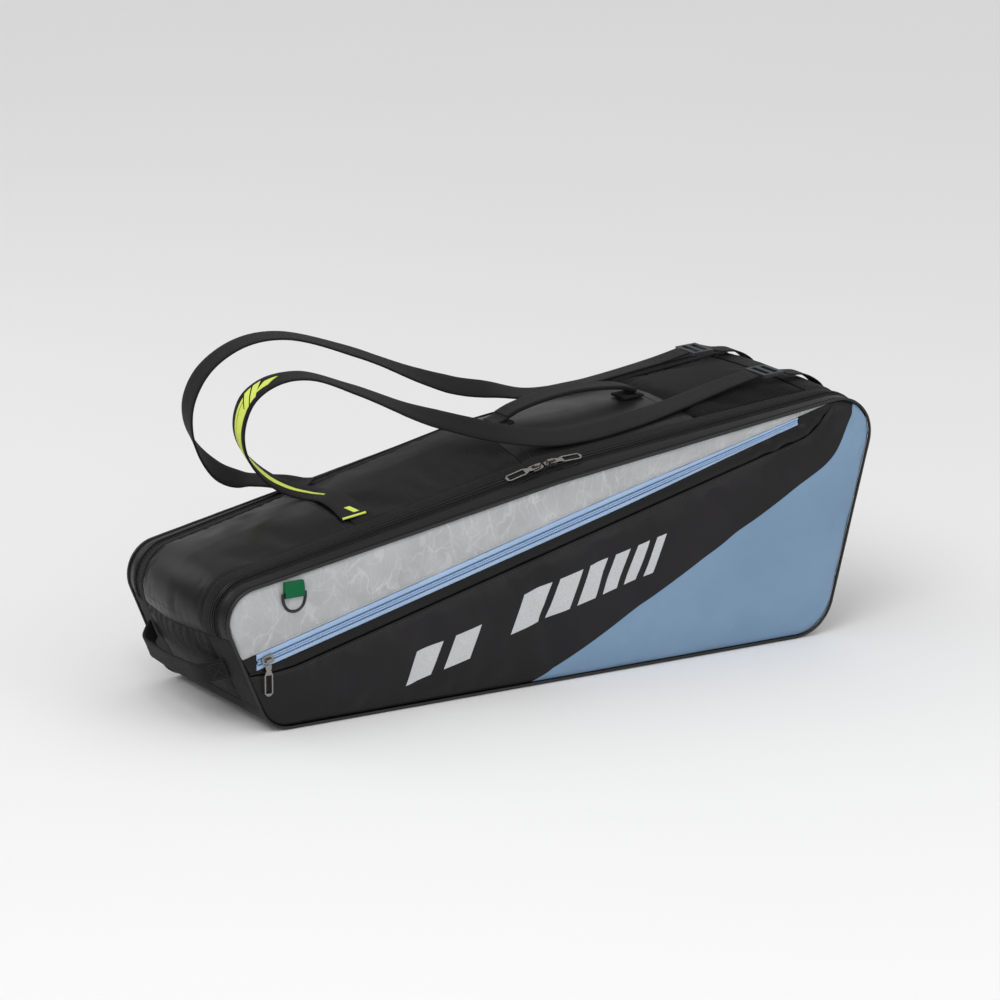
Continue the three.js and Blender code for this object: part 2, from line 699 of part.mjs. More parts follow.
// The end handle crosses the grip end: webbing that bows away from the panel between two sewn ends.
// It reaches its full bow at a share of its half length, called bend, from each end.
function endHandle() {
  const { bow, bend, stand } = END_HANDLE;
  const station = stationAt(noseAt(END_HANDLE.z));
  const tangent = new THREE.Vector3(-station.nz, 0, station.nx);
  const standOff = (t) => stand + bow * Math.min(1, Math.max(0, (1 - Math.abs(t)) / bend)) ** 0.8;
  const route = Array.from({ length: 17 }, (_, k) => {
    const t = -1 + k / 8;
    const v = halfDepth(station.x) - Math.abs(t * END_HANDLE.half);
    const out = crownAt(station, v) + END_HANDLE.thick / 2 + standOff(t);
    return onRing(station, t * END_HANDLE.half, out).toArray();
  });
  const handle = webbing(route, END_HANDLE.width, END_HANDLE.thick, 24, () => tangent.clone());
  addMesh("end_handle", handle, "webbing");
}

carryHandle();
endHandle();

// ---- shoulder straps, their ladder-lock buckles and the lower webbing ----
// A route entry is [x, y, z, lean in degrees]: the lean lifts the rear edge of the webbing.
// over() gives an entry for webbing that lies a little above the bag's top.
function over(x, y, above, lean) {
  return [x, y, surfaceAt(x, y, above).z, lean];
}

const FRONT_STRAP = [
  over(172, -58, 3.4, 0), over(174, -34, 3.6, 0), over(173, -6, 3.6, 0), over(167, 20, 4, 0),
  [153, 41, 201, 5], [134, 54, 213, 8], [112, 60, 240, 5], [104, 57, 269, 3], [111, 50, 299, 8],
  [133, 43, 316, 14], [168, 34, 320, 20], [216, 14, 303, 30], [268, -18, 279, 34], [306, -38, 266, 34],
  [348, -56, 254, 28], over(396, -64, 9, 20), over(446, -66, 3.6, 17), over(500, -64, 3.4, 15),
  over(555, -56, 3.6, 10), over(606, -49, 7, 8), over(640, -47, 11, 5), over(670, -46, 14, 3),
];
const REAR_STRAP = [
  over(192, 64, 3.4, 0), [182, 77, 193.5, 0], [168, 94, 194, 0], [155, 110, 193.5, 0], [140, 121, 194, 0],
  [119, 126, 203, 0], [95, 126, 229, 0], [82, 124, 258, 2], [82, 122, 287, 5], [99, 120, 317, 9],
  [138, 119, 339, 14], [188, 118, 342, 17], [275, 118, 313, 26], [352, 112, 278, 34], [394, 102, 263, 28],
  [432, 92, 256, 14], over(472, 84, 12, 0), over(528, 79, 9, -6), over(590, 79, 10, -6),
  over(636, 80, 12, -4), over(666, 80, 15, -3),
];
const STRAP_STEPS = 64;
const STRAP_TWIST = 0.28;

// A strap's width points along the bag at its sewn foot. By the share STRAP_TWIST of its length it has turned
// across the bag, where it leans as its route says.
function shoulderStrap(name, route) {
  const leans = route.map((entry) => THREE.MathUtils.degToRad(entry[3]));
  const firstAcross = new THREE.Vector3(1, 0.05, 0.2);
  const acrossAt = (t) => {
    const at = t * (route.length - 1);
    const i = Math.min(Math.floor(at), route.length - 2);
    const lean = leans[i] + (leans[i + 1] - leans[i]) * (at - i);
    const rearward = new THREE.Vector3(0, Math.cos(lean), Math.sin(lean));
    return firstAcross.clone().lerp(rearward, smooth(t / STRAP_TWIST));
  };
  addMesh(name, webbing(route, STRAP_WIDTH, STRAP_THICK, STRAP_STEPS, acrossAt), "webbing");
}

shoulderStrap("shoulder_strap_front", FRONT_STRAP);
shoulderStrap("shoulder_strap_rear", REAR_STRAP);

const BUCKLE = { length: 26, width: 36, thick: 4, bar: 4.5, rim: 3.2, gap: 3.4, slope: 0.03 };

// A ladder lock: a flat frame with two slots, between its three bars.
function buckle(name, origin, along) {
  const { length, width, thick, bar, rim } = BUCKLE;
  const shape = polygonShape([[0, -width / 2], [length, -width / 2], [length, width / 2], [0, width / 2]]);
  const slotLength = (length - 3 * bar) / 2;
  for (let k = 0; k < 2; k++) {
    const x0 = bar + k * (slotLength + bar);
    const x1 = x0 + slotLength;
    const half = width / 2 - rim - k * 0.8;
    const hole = [[x0, -half], [x1, -half], [x1, half], [x0, half]];
    shape.holes.push(new THREE.Path(hole.map(([a, b]) => new THREE.Vector2(a, b))));
  }
  const frame = extruded(shape, thick);
  frame.translate(0, 0, -thick / 2);
  addMesh(name, placed(frame, origin, along, new THREE.Vector3(0, 0, 1)), "plastic");
}

const LOWER_WEB = { width: 24, thick: 1.6, steps: 14 };

// The lower webbing bridges from the buckle over the top corner of the head end.
function lowerWebbing(name, y, start) {
  const above = (x, height) => surfaceAt(x, y, height).toArray();
  const route = [start.toArray(), above(712, 8), above(730, 5.5), above(746, 3.8), above(755, 2.8)];
  const strip = webbing(route, LOWER_WEB.width, LOWER_WEB.thick, LOWER_WEB.steps, rearwards);
  addMesh(name, strip, "webbing");
}

for (const [name, route] of [["front", FRONT_STRAP], ["rear", REAR_STRAP]]) {
  const [x, y, z] = route.at(-1);
  const along = new THREE.Vector3(1, 0, BUCKLE.slope).normalize();
  const origin = new THREE.Vector3(x + BUCKLE.gap, y, z);
  buckle(`${name}_buckle`, origin, along);
  lowerWebbing(`${name}_lower_webbing`, y, origin.clone().addScaledVector(along, BUCKLE.length + 0.8));
}

// ---- the origin goes to the bottom centre of the box ----
const box = new THREE.Box3().setFromObject(bag);
const shift = new THREE.Vector3(-(box.min.x + box.max.x) / 2, -(box.min.y + box.max.y) / 2, -box.min.z);
for (const mesh of bag.children) {
  mesh.position.copy(shift);
}

export default bag;
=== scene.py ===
"""A racket bag's looks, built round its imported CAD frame. Lengths are in millimetres on the bag until place() moves
them into the frame: x runs from the grip end to the head end, y from the pocket face to the plain face, z up."""
import math

import bmesh
import bpy
import numpy as np
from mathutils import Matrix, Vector, noise


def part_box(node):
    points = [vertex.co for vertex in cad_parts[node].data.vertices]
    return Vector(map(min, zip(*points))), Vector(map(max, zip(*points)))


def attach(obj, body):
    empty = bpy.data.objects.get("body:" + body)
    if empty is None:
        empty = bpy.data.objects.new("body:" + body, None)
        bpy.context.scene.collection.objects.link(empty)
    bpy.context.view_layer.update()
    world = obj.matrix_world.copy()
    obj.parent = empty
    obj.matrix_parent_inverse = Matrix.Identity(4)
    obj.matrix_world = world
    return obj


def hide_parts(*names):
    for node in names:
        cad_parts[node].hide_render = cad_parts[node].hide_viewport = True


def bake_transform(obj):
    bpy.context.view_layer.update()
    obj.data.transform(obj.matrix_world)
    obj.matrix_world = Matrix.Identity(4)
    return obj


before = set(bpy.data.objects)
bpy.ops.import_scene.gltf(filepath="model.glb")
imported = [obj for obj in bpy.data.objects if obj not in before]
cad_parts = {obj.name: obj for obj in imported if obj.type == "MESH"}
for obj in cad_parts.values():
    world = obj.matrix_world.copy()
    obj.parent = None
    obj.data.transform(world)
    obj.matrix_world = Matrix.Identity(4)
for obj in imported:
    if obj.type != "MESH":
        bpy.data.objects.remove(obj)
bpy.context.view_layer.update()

# ---- the bag's driving dimensions ----
HALF_DEPTH_NOSE = 105
DEPTH_TAPER = 0.036
CROWN = 36
CROWN_NOSE = 0.35
CROWN_PEAK_X = 385
CROWN_HEAD = 0.06
HEAD_X = 770
CROWN_START_Z = 15
CROWN_FULL_Z = 100
CROWN_REACH = 140
SKIN = 3
BASE_DROP = 2.2
FACE_INSET = 2.1
PIPING_R = 1.6
OUTLINE = [(44, 0, 34), (709, 0, 45), (776, 261.6, 40), (385, 212, 600), (-15, 143.6, 34)]
BAND_EDGE = 2.0
BAND_OUTER = 18.6
BAND_TEETH = 23.5
BAND_INNER = 28.4
BAND_SEAM = 41.6
TOP_SEAMS_X = (712, 572, 364)
CROSS_SEAM_X = 170
BASE_END_X = 674
POCKET_X = (33, 668)
POCKET_Z0 = 74
POCKET_SLOPE = 162 / 635
BINDING = 22
TAPE_HALF = 8.6
FACE_SINK = 0.3  # a face's plane lies this far inside the middle of its piping
PULL_PLACES = ((41, 48), (661, 206))  # the pocket's pull presses the face flat here, at each end of its zip
SHADE_X0 = 344
SHADE_SLOPE = 192 / 369
FRONT, REAR = -1, 1
SIDES = {"front": FRONT, "rear": REAR}
FLAPS = {FRONT: "front_flap", REAR: "rear_flap"}
PANEL_BACK = -2.8  # a face panel's inner side, from the face's plane
ACROSS_BAG = np.array([0.0, 1, 0])


def half_depth(x):
    return HALF_DEPTH_NOSE + DEPTH_TAPER * x


def runs(points):
    """The distance of each point along a line from its first point."""
    return np.concatenate([[0], np.cumsum(np.linalg.norm(np.diff(points, axis=0), axis=1))])


def sample(at, run, rows):
    """Rows of values, read at distances along a line."""
    return np.stack([np.interp(at, run, column) for column in rows.T], -1)


def smooth(t):
    t = np.clip(t, 0, 1)
    return t * t * (3 - 2 * t)


# ---- the side outline, as arrays along its length ----
def rounded_outline():
    """Points and outward normals round the outline, anticlockwise from the lower grip corner."""
    rows = []
    count = len(OUTLINE)
    for i, (px, pz, radius) in enumerate(OUTLINE):
        p = np.array([px, pz], float)
        a = np.array(OUTLINE[i - 1][:2], float) - p
        b = np.array(OUTLINE[(i + 1) % count][:2], float) - p
        a, b = a / np.linalg.norm(a), b / np.linalg.norm(b)
        half = math.acos(a @ b) / 2
        middle = (a + b) / np.linalg.norm(a + b)
        centre = p + middle * radius / math.sin(half)
        start = p + a * radius / math.tan(half) - centre
        angle = math.atan2(start[1], start[0])
        sweep = math.pi - 2 * half
        for k in range(13):
            turn = angle + sweep * k / 12
            normal = np.array([math.cos(turn), math.sin(turn)])
            rows.append([*(centre + radius * normal), *normal])
    rows.append(rows[0])
    rows = np.array(rows)
    return runs(rows[:, :2]), rows


OUT_S, OUT_ROWS = rounded_outline()
ROUND = OUT_S[-1]


def station(s):
    """x, z, nx, nz at distances s along the outline."""
    x, z, nx, nz = (np.interp(s, OUT_S, column) for column in OUT_ROWS.T)
    size = np.hypot(nx, nz)
    return x, z, nx / size, nz / size


FINE_S = np.linspace(0, ROUND, 4000)
FINE = np.array(station(FINE_S))


def where(key, value, stretch):
    """The distance along the outline at which x or z takes a value, on the top, nose or head stretch."""
    row = {"x": 0, "z": 1}[key]
    inside = {"top": FINE[3] > 0.1, "nose": FINE[2] < -0.6, "head": FINE[2] > 0.6, "base": FINE[3] < -0.99}[stretch]
    gap = np.where(inside, np.abs(FINE[row] - value), 1e9)
    return FINE_S[int(np.argmin(gap))]


def rise(v):
    return 1 - (1 - np.minimum(v, CROWN_REACH) / CROWN_REACH) ** 2


def half_at(s):
    """Half of the bag's depth at distances s round the outline."""
    return half_depth(station(s)[0])


def crown(s, v):
    """How far the bag bulges out from its outline, at a distance v from the face edge."""
    x, z, _, _ = station(s)
    rising = CROWN_NOSE + (1 - CROWN_NOSE) * np.maximum(0, x) / CROWN_PEAK_X
    falling = 1 - (1 - CROWN_HEAD) * (x - CROWN_PEAK_X) / (HEAD_X - CROWN_PEAK_X)
    along = np.where(x < CROWN_PEAK_X, rising, falling)
    return CROWN * along * smooth((z - CROWN_START_Z) / (CROWN_FULL_Z - CROWN_START_Z)) * rise(v)


def bulge(s, y):
    return crown(s, half_at(s) - np.abs(y))


def on_ring(s, y, out):
    """Points at distances s round the outline, depth y, and a distance out from the outline."""
    x, z, nx, nz = station(s)
    return np.stack([x + nx * out, y + 0 * x, z + nz * out], -1)


def top_point(x, y, above=0.0):
    s = np.array([where("x", x, "top")])
    return on_ring(s, y, bulge(s, y) + above)[0]


S_CORNER = FINE_S[int(np.argmax(FINE[3] < -0.999))]  # where the base starts, after the lower grip corner
S_BASE_END = where("x", BASE_END_X, "base")
S_FOOT, S_HEAD, S_NOSE = where("z", 36, "head"), where("z", 62, "head"), where("z", 100, "nose")
S_TOP_SEAMS = [where("x", x, "top") for x in (*TOP_SEAMS_X, CROSS_SEAM_X)]


# ---- from the bag's millimetres to the frame ----
divider_low, divider_high = (Vector(c) * 1000 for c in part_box("compartment_divider"))
SHIFT = np.array([
    (divider_low.x + divider_high.x) / 2 - (FINE[0].min() + FINE[0].max()) / 2,
    (divider_low.y + divider_high.y) / 2,
    BASE_DROP,
])


def place(points):
    return (np.asarray(points, float) + SHIFT) / 1000


# ---- procedural materials ----
def linear(channels):
    """The shader's linear colour for 8-bit channels."""
    values = [c / 255 for c in channels]
    return (*[v / 12.92 if v <= 0.04045 else ((v + 0.055) / 1.055) ** 2.4 for v in values], 1)


class Nodes:
    """The node tree of a material or a world, with short calls for the nodes that the finishes share."""

    def __init__(self, name, library="materials", shader="Principled BSDF"):
        self.owner = getattr(bpy.data, library).new(name)
        self.owner.use_nodes = True
        self.tree = self.owner.node_tree
        self.shader = self.tree.nodes[shader]
        self.coords = self.tree.nodes.new("ShaderNodeTexCoord")
        self.height = None

    def feed(self, socket, value):
        """Links another node's output to a socket, or sets the socket's value."""
        if isinstance(value, bpy.types.NodeSocket):
            self.tree.links.new(value, socket)
        else:
            socket.default_value = value

    def add(self, kind, *inputs, **values):
        """A node with its first inputs in order; the named values are its properties or further inputs."""
        node = self.tree.nodes.new("ShaderNode" + kind)
        for key, value in values.items():
            if key in node.bl_rna.properties:
                setattr(node, key, value)
            else:
                self.feed(node.inputs[key.replace("_", " ")], value)
        for k, value in enumerate(inputs):
            self.feed(node.inputs[k], value)
        return node

    def texture(self, kind, scale, space="Object", stretch=(1, 1, 1), turn=0.0, warp=None, out="Fac", **values):
        vector = self.add("Mapping", self.coords.outputs[space], Scale=stretch, Rotation=(0, 0, turn)).outputs[0]
        if warp is not None:
            vector = self.add("VectorMath", vector, warp, operation="ADD").outputs[0]
        outputs = self.add(kind, vector, Scale=scale, **values).outputs
        return outputs[out] if out in outputs else outputs[0]

    def maths(self, operation, a, b):
        return self.add("Math", a, b, operation=operation).outputs[0]

    def spread(self, source, low, high, to_low=0.0, to_high=1.0):
        return self.add("MapRange", source, low, high, to_low, to_high).outputs[0]

    def colour(self, factor, low, high):
        """Mixes two colours, given as 8-bit channels, as linear channels with alpha, or as a node's output."""
        node = self.add("Mix", factor, data_type="RGBA")
        for k, value in ((6, low), (7, high)):
            self.feed(node.inputs[k], linear(value) if isinstance(value, tuple) and len(value) == 3 else value)
        return node.outputs[2]

    def bump(self, source, depth_mm, strength=1.0):
        node = self.add("Bump", Height=source, Distance=depth_mm / 1000, Strength=strength)
        if self.height is not None:
            self.feed(node.inputs["Normal"], self.height)
        self.height = node.outputs[0]
        self.set(Normal=self.height)

    def set(self, **values):
        for key, value in values.items():
            self.feed(self.shader.inputs[key.replace("_", " ")], value)


def coated(name, dark, light, roughness, grain, cell):
    """Smooth coated synthetic leather: a fine pebble, faint cloudy colour and rubbed patches."""
    m = Nodes(name)
    cloud = m.texture("TexNoise", 9, Detail=4.0)
    rub = m.texture("TexNoise", 30, Detail=5.0)
    m.bump(m.texture("TexVoronoi", cell, feature="SMOOTH_F1"), grain)
    m.bump(m.texture("TexNoise", 60, Detail=3.0), 0.25, 0.5)
    m.set(Base_Color=m.colour(m.spread(cloud, 0.3, 0.7), dark, light), Specular_IOR_Level=0.24,
          Roughness=m.spread(rub, 0.25, 0.75, roughness - 0.05, roughness + 0.07))
    return m.owner


def weave_height(m, pitch_mm):
    """Over-and-under threads: two crossed waves that take turns."""
    scale = 1000 / pitch_mm
    warp, weft = (m.texture("TexWave", scale / 2, "UV", bands_direction=axis, Distortion=0.15) for axis in "XY")
    check = m.texture("TexChecker", scale, "UV")
    under = m.maths("SUBTRACT", 1.0, check)
    return m.maths("ADD", m.maths("MULTIPLY", warp, check), m.maths("MULTIPLY", weft, under))


def woven(name, dark, light, pitch_mm, roughness=0.8, ripstop=0.0):
    """Woven nylon; ripstop is the spacing in millimetres of its thicker threads."""
    m = Nodes(name)
    weave = weave_height(m, pitch_mm)
    fuzz = m.texture("TexNoise", 14, Detail=5.0)
    tone = m.maths("MULTIPLY", m.spread(weave, 0, 1, 0.35, 1), m.spread(fuzz, 0.3, 0.7, 0.6, 1.1))
    if ripstop:
        lines = (m.texture("TexWave", 500 / ripstop, "UV", bands_direction=axis, wave_profile="SAW")
                 for axis in "XY")
        grid = m.maths("MAXIMUM", *(m.spread(line, 0.86, 0.97) for line in lines))
        tone = m.maths("ADD", tone, m.maths("MULTIPLY", grid, 0.5))
        m.bump(grid, 0.2)
    m.bump(weave, 0.12, 0.8)
    rough = m.spread(fuzz, 0.3, 0.7, roughness - 0.06, roughness + 0.06)
    m.set(Base_Color=m.colour(tone, dark, light), Roughness=rough, Sheen_Weight=0.06, Sheen_Roughness=0.5,
          Specular_IOR_Level=0.14)
    return m.owner


def ribbed(name, dark, light, rib_mm=1.7, roughness=0.72):
    """Webbing: ribs across its width and a herringbone within them."""
    m = Nodes(name)
    ribs = m.texture("TexWave", 500 / rib_mm, "UV", bands_direction="X", wave_profile="SIN", Distortion=0.4)
    fine = m.texture("TexWave", 900, "UV", bands_direction="DIAGONAL")
    fuzz = m.texture("TexNoise", 120, Detail=3.0)
    height = m.maths("ADD", ribs, m.maths("MULTIPLY", fine, 0.4))
    tone = m.maths("MULTIPLY", height, m.spread(fuzz, 0.3, 0.7, 0.5, 0.9))
    m.bump(height, 0.22)
    rough = m.spread(fuzz, 0.3, 0.7, roughness - 0.05, roughness + 0.06)
    m.set(Base_Color=m.colour(tone, dark, light), Roughness=rough, Sheen_Weight=0.06, Sheen_Roughness=0.5,
          Specular_IOR_Level=0.16)
    return m.owner


def spacer_mesh(name, dark, light):
    """Padded air mesh: rows of small open holes, 3.2 mm apart, in a knitted face."""
    m = Nodes(name)
    holes = m.spread(m.texture("TexVoronoi", 1000 / 3.2, "UV", Randomness=0.12), 0.2, 0.34)
    knit = m.texture("TexWave", 700, "UV", bands_direction="DIAGONAL")
    tone = m.maths("MULTIPLY", holes, m.spread(knit, 0, 1, 0.6, 1))
    m.bump(holes, 0.7)
    m.bump(knit, 0.1)
    m.set(Base_Color=m.colour(tone, dark, light), Roughness=0.88, Sheen_Weight=0.06, Specular_IOR_Level=0.12)
    return m.owner


def shaded(channels, factor):
    """A linear colour, lighter or darker than the given one by a factor."""
    return (*[min(1, c * factor) for c in linear(channels)[:3]], 1)


def marbled(name, ground, vein):
    """Grey coated cloth with a print of pale, branching, wavering lines."""
    m = Nodes(name)
    drift = m.texture("TexNoise", 16, out="Color", Detail=3.0)
    warp = m.add("VectorMath", drift, operation="SCALE", Scale=0.06).outputs[0]
    veins = None
    for scale, width, strength in ((24, 0.024, 0.42), (40, 0.034, 0.36), (66, 0.05, 0.3)):
        cells = m.texture("TexVoronoi", scale, stretch=(1.35, 0.02, 0.55), turn=scale / 90, warp=warp,
                          feature="DISTANCE_TO_EDGE")
        fade = m.spread(m.texture("TexNoise", scale * 0.8, Detail=2.0), 0.36, 0.62)
        stroke = m.maths("MULTIPLY", m.maths("MULTIPLY", m.spread(cells, width, 0.0), strength), fade)
        veins = stroke if veins is None else m.maths("ADD", veins, stroke)
    blobs = m.texture("TexNoise", 30, stretch=(1.3, 0.02, 0.8), warp=warp, Detail=1.0)
    veins = m.maths("ADD", veins, m.spread(blobs, 0.63, 0.66, 0.0, 0.3))
    cloud = m.texture("TexNoise", 26, Detail=4.0)
    base = m.colour(m.spread(cloud, 0.35, 0.65), ground, shaded(ground, 1.13))
    m.bump(m.texture("TexVoronoi", 800), 0.05)
    m.bump(weave_height(m, 0.7), 0.05)
    m.set(Base_Color=m.colour(veins, base, vein), Roughness=0.52, Specular_IOR_Level=0.4)
    return m.owner


def metal(name, tint, roughness):
    """Plated metal with faint wear."""
    m = Nodes(name)
    wear = m.texture("TexNoise", 900, Detail=6.0)
    m.bump(m.texture("TexNoise", 2500, Detail=2.0), 0.06)
    m.set(Base_Color=m.colour(m.spread(wear, 0.35, 0.7), tint, shaded(tint, 0.72)), Metallic=1.0,
          Roughness=m.spread(wear, 0.3, 0.7, roughness - 0.06, roughness + 0.1))
    return m.owner


def moulded(name, dark, light, roughness=0.45):
    """Moulded plastic with a fine texture."""
    m = Nodes(name)
    speck = m.texture("TexNoise", 700, Detail=3.0)
    m.bump(m.texture("TexVoronoi", 1800), 0.04)
    m.set(Base_Color=m.colour(m.spread(speck, 0.3, 0.7), dark, light), Specular_IOR_Level=0.5,
          Roughness=m.spread(speck, 0.3, 0.7, roughness - 0.05, roughness + 0.08))
    return m.owner


FINISHES = {
    "pu": (coated, (13, 13, 14), (20, 20, 22), 0.36, 0.05, 1100),
    "pu_patch": (coated, (25, 25, 27), (36, 36, 38), 0.38, 0.06, 900),
    "base": (coated, (10, 10, 11), (16, 16, 17), 0.5, 0.1, 500),
    "nylon": (woven, (10, 10, 11), (36, 36, 38), 0.7),
    # the grip end's crinkled nylon: its own weave and gloss, with colours set darker than the other nylon as painted
    # shade of that end
    "crinkle_and_shade": (woven, (8, 8, 9), (30, 30, 32), 0.6, 0.55),
    "ripstop": (woven, (11, 11, 12), (36, 36, 38), 0.7, 0.68, 5.0),
    "mesh": (spacer_mesh, (4, 4, 5), (24, 23, 26)),
    "face_dark": (coated, (22, 20, 22), (30, 27, 30), 0.42, 0.04, 1300),
    "face_blue": (coated, (118, 146, 174), (127, 155, 183), 0.45, 0.04, 1300),
    "pocket": (coated, (12, 11, 13), (20, 19, 21), 0.34, 0.05, 1200),
    "grey": (marbled, (174, 176, 177), (214, 216, 218)),
    "tape": (woven, (146, 176, 212), (184, 208, 238), 0.9, 0.7),
    "coil": (moulded, (140, 170, 208), (164, 192, 226), 0.42),
    "zip_tape": (woven, (7, 7, 8), (26, 26, 28), 0.9, 0.75),
    "zip_coil": (moulded, (9, 9, 10), (20, 20, 22), 0.38),
    "piping": (moulded, (8, 8, 9), (14, 14, 15), 0.42),
    "webbing": (ribbed, (6, 6, 7), (32, 32, 34)),
    "fine_webbing": (ribbed, (6, 6, 7), (30, 30, 32), 1.2),
    "metal": (metal, (150, 148, 143), 0.27),
    "ring": (metal, (66, 68, 71), 0.34),
    "plastic": (moulded, (38, 40, 44), (52, 54, 58)),
    "green": (ribbed, (10, 96, 56), (38, 166, 102), 0.9),
    "lining": (woven, (44, 45, 48), (84, 86, 90), 0.8, 0.85, 9.0),
    "thread": (moulded, (26, 26, 28), (60, 60, 62), 0.6),
    "blue_thread": (moulded, (58, 84, 120), (80, 108, 146), 0.6),
    "neon": (moulded, (214, 230, 84), (226, 240, 110), 0.5),
    "silver": (moulded, (186, 188, 190), (204, 206, 208), 0.36),
}
MATERIALS = {name: finish(name, *values) for name, (finish, *values) in FINISHES.items()}


# ---- making pieces ----
def new_mesh(name, points, faces, material, uvs=None, sharp=50):
    mesh = bpy.data.meshes.new(name)
    mesh.from_pydata(place(points).tolist(), [], [list(map(int, f)) for f in faces])
    if uvs is not None:
        layer = mesh.uv_layers.new(name="UVMap")
        index = np.empty(len(mesh.loops), dtype=np.int64)
        mesh.loops.foreach_get("vertex_index", index)
        layer.data.foreach_set("uv", (np.asarray(uvs, float)[index] / 1000).ravel())
    mesh.materials.append(MATERIALS[material])
    mesh.shade_smooth()
    mesh.set_sharp_from_angle(angle=math.radians(sharp))
    obj = bpy.data.objects.new(name, mesh)
    bpy.context.collection.objects.link(obj)
    return obj


def settle(obj, body, slot, *nodes):
    """obj rides on a body and stands for CAD nodes; slot is not used."""
    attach(obj, body)
    if nodes:
        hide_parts(*nodes)
    return obj


def grid_faces(rows, cols, first=0, flip=False, wrap=False):
    i, j = np.meshgrid(np.arange(rows if wrap else rows - 1), np.arange(cols - 1), indexing="ij")
    a = first + i * cols + j
    b = first + ((i + 1) % rows) * cols + j
    quads = np.stack([a, b, b + 1, a + 1], -1).reshape(-1, 4)
    return quads[:, ::-1] if flip else quads


def closed_sheet(outer, inner):
    """The points and faces of a closed sheet between two grids of points of the same size."""
    rows, cols = outer.shape[:2]
    total = rows * cols
    ids = np.arange(total).reshape(rows, cols)
    ring = np.concatenate([ids[0, :-1], ids[:-1, -1], ids[-1, :0:-1], ids[:0:-1, 0]])
    follow = np.roll(ring, -1)
    rim = np.stack([ring, ring + total, follow + total, follow], -1)
    faces = np.concatenate([grid_faces(rows, cols), grid_faces(rows, cols, total, True), rim])
    return np.concatenate([outer.reshape(-1, 3), inner.reshape(-1, 3)]), faces.tolist()


def slab(name, outer, inner, material, uv):
    points, faces = closed_sheet(outer, inner)
    obj = new_mesh(name, points, faces, material, np.concatenate([uv.reshape(-1, 2)] * 2))
    turn_outward(obj)
    return obj


def turn_outward(obj):
    bm = bmesh.new()
    bm.from_mesh(obj.data)
    bmesh.ops.recalc_face_normals(bm, faces=bm.faces)
    bm.to_mesh(obj.data)
    bm.free()


def tube(points, radii, sides=8, closed=False, up=(0, 1, 0), flat=1.0):
    """A round tube's points and faces along a path; flat squeezes it along up."""
    points = np.asarray(points, float)
    count = len(points)
    radii = np.broadcast_to(radii, count)
    before = np.roll(points, 1, 0) if closed else np.concatenate([points[:1], points[:-1]])
    after = np.roll(points, -1, 0) if closed else np.concatenate([points[1:], points[-1:]])
    along = after - before
    along /= np.linalg.norm(along, axis=1)[:, None]
    a = np.cross(along, np.asarray(up, float))
    a /= np.linalg.norm(a, axis=1)[:, None]
    b = np.cross(a, along)
    turn = 2 * np.pi * np.arange(sides) / sides
    rings = points[:, None] + radii[:, None, None] * (
        a[:, None] * np.cos(turn)[:, None] + flat * b[:, None] * np.sin(turn)[:, None])
    ids = np.arange(count * sides).reshape(count, sides)
    after = np.roll(ids, -1, 0)
    quads = np.stack([ids, np.roll(ids, -1, 1), np.roll(after, -1, 1), after], -1)
    faces = quads[:count if closed else -1].reshape(-1, 4).tolist()
    if not closed:
        faces += [ids[0].tolist(), ids[-1, ::-1].tolist()]
    return rings.reshape(-1, 3), faces


def merged(parts):
    """Joins (points, faces) pairs."""
    points, faces, first = [], [], 0
    for p, f in parts:
        points.append(np.asarray(p, float))
        faces += [[v + first for v in face] for face in f]
        first += len(p)
    return np.concatenate(points), faces


THREAD_R = 0.34


def stitches(name, lines, body, slot, pitch=4.2):
    """Thread that shows as short raised dashes along lines of points."""
    parts = []
    for line in lines:
        run = runs(line)
        for k in range(int(run[-1] // pitch)):
            ends = [(k + part) * pitch for part in (0.14, 0.5, 0.86)]
            path = sample(ends, run, line)
            upright = abs(path[-1] - path[0])[2] >= 0.8 * np.linalg.norm(path[-1] - path[0])
            up = (0, 1, 0) if upright else (0, 0, 1)
            parts.append(tube(path, THREAD_R * np.array([0.55, 1, 0.55]), 5, up=up))
    settle(new_mesh(name, *merged(parts), "thread"), body, slot)


# ---- fabric: seams, folds and a cloth simulation ----
def edge_distance(grid):
    """The distance of each grid point from the grid's own border, in millimetres."""
    rows, cols = grid.shape[:2]
    steps_i = np.linalg.norm(np.diff(grid, axis=0), axis=2)
    steps_j = np.linalg.norm(np.diff(grid, axis=1), axis=2)
    i = np.concatenate([np.zeros((1, cols)), np.cumsum(steps_i, axis=0)])
    j = np.concatenate([np.zeros((rows, 1)), np.cumsum(steps_j, axis=1)], axis=1)
    return np.minimum(np.minimum(i, i[-1:] - i), np.minimum(j, j[:, -1:] - j)), i, j


def waver(points, size, seed=0.0):
    """Smooth noise from -1 to 1 over points, with features of a given size in millimetres."""
    flat = points.reshape(-1, 3) / size
    values = [noise.noise(Vector((x + seed, y, z - seed))) for x, y, z in flat]
    return np.array(values).reshape(points.shape[:-1])


def normals_of(grid):
    a = np.gradient(grid, axis=0)
    b = np.gradient(grid, axis=1)
    n = np.cross(a, b)
    return n / np.maximum(np.linalg.norm(n, axis=-1), 1e-9)[..., None]


def sewn(grid, outward, dip=1.3, pucker=0.35, sway=0.6, seed=0.0):
    """Fabric that sinks into the seams on its border, with small puckers beside them and a faint sway."""
    d, i, j = edge_distance(grid)
    run = np.where(np.minimum(i, i[-1:] - i) < np.minimum(j, j[:, -1:] - j), j, i)
    gather = np.sin(run * 2 * np.pi / 13 + 5 * waver(grid, 60, seed))
    lift = -dip * np.exp(-d / 1.6) + pucker * np.exp(-d / 9) * (1 - np.exp(-d / 1.5)) * gather
    lift += sway * waver(grid, 70, seed + 9) * (1 - np.exp(-d / 25))
    return grid + outward * lift[..., None]


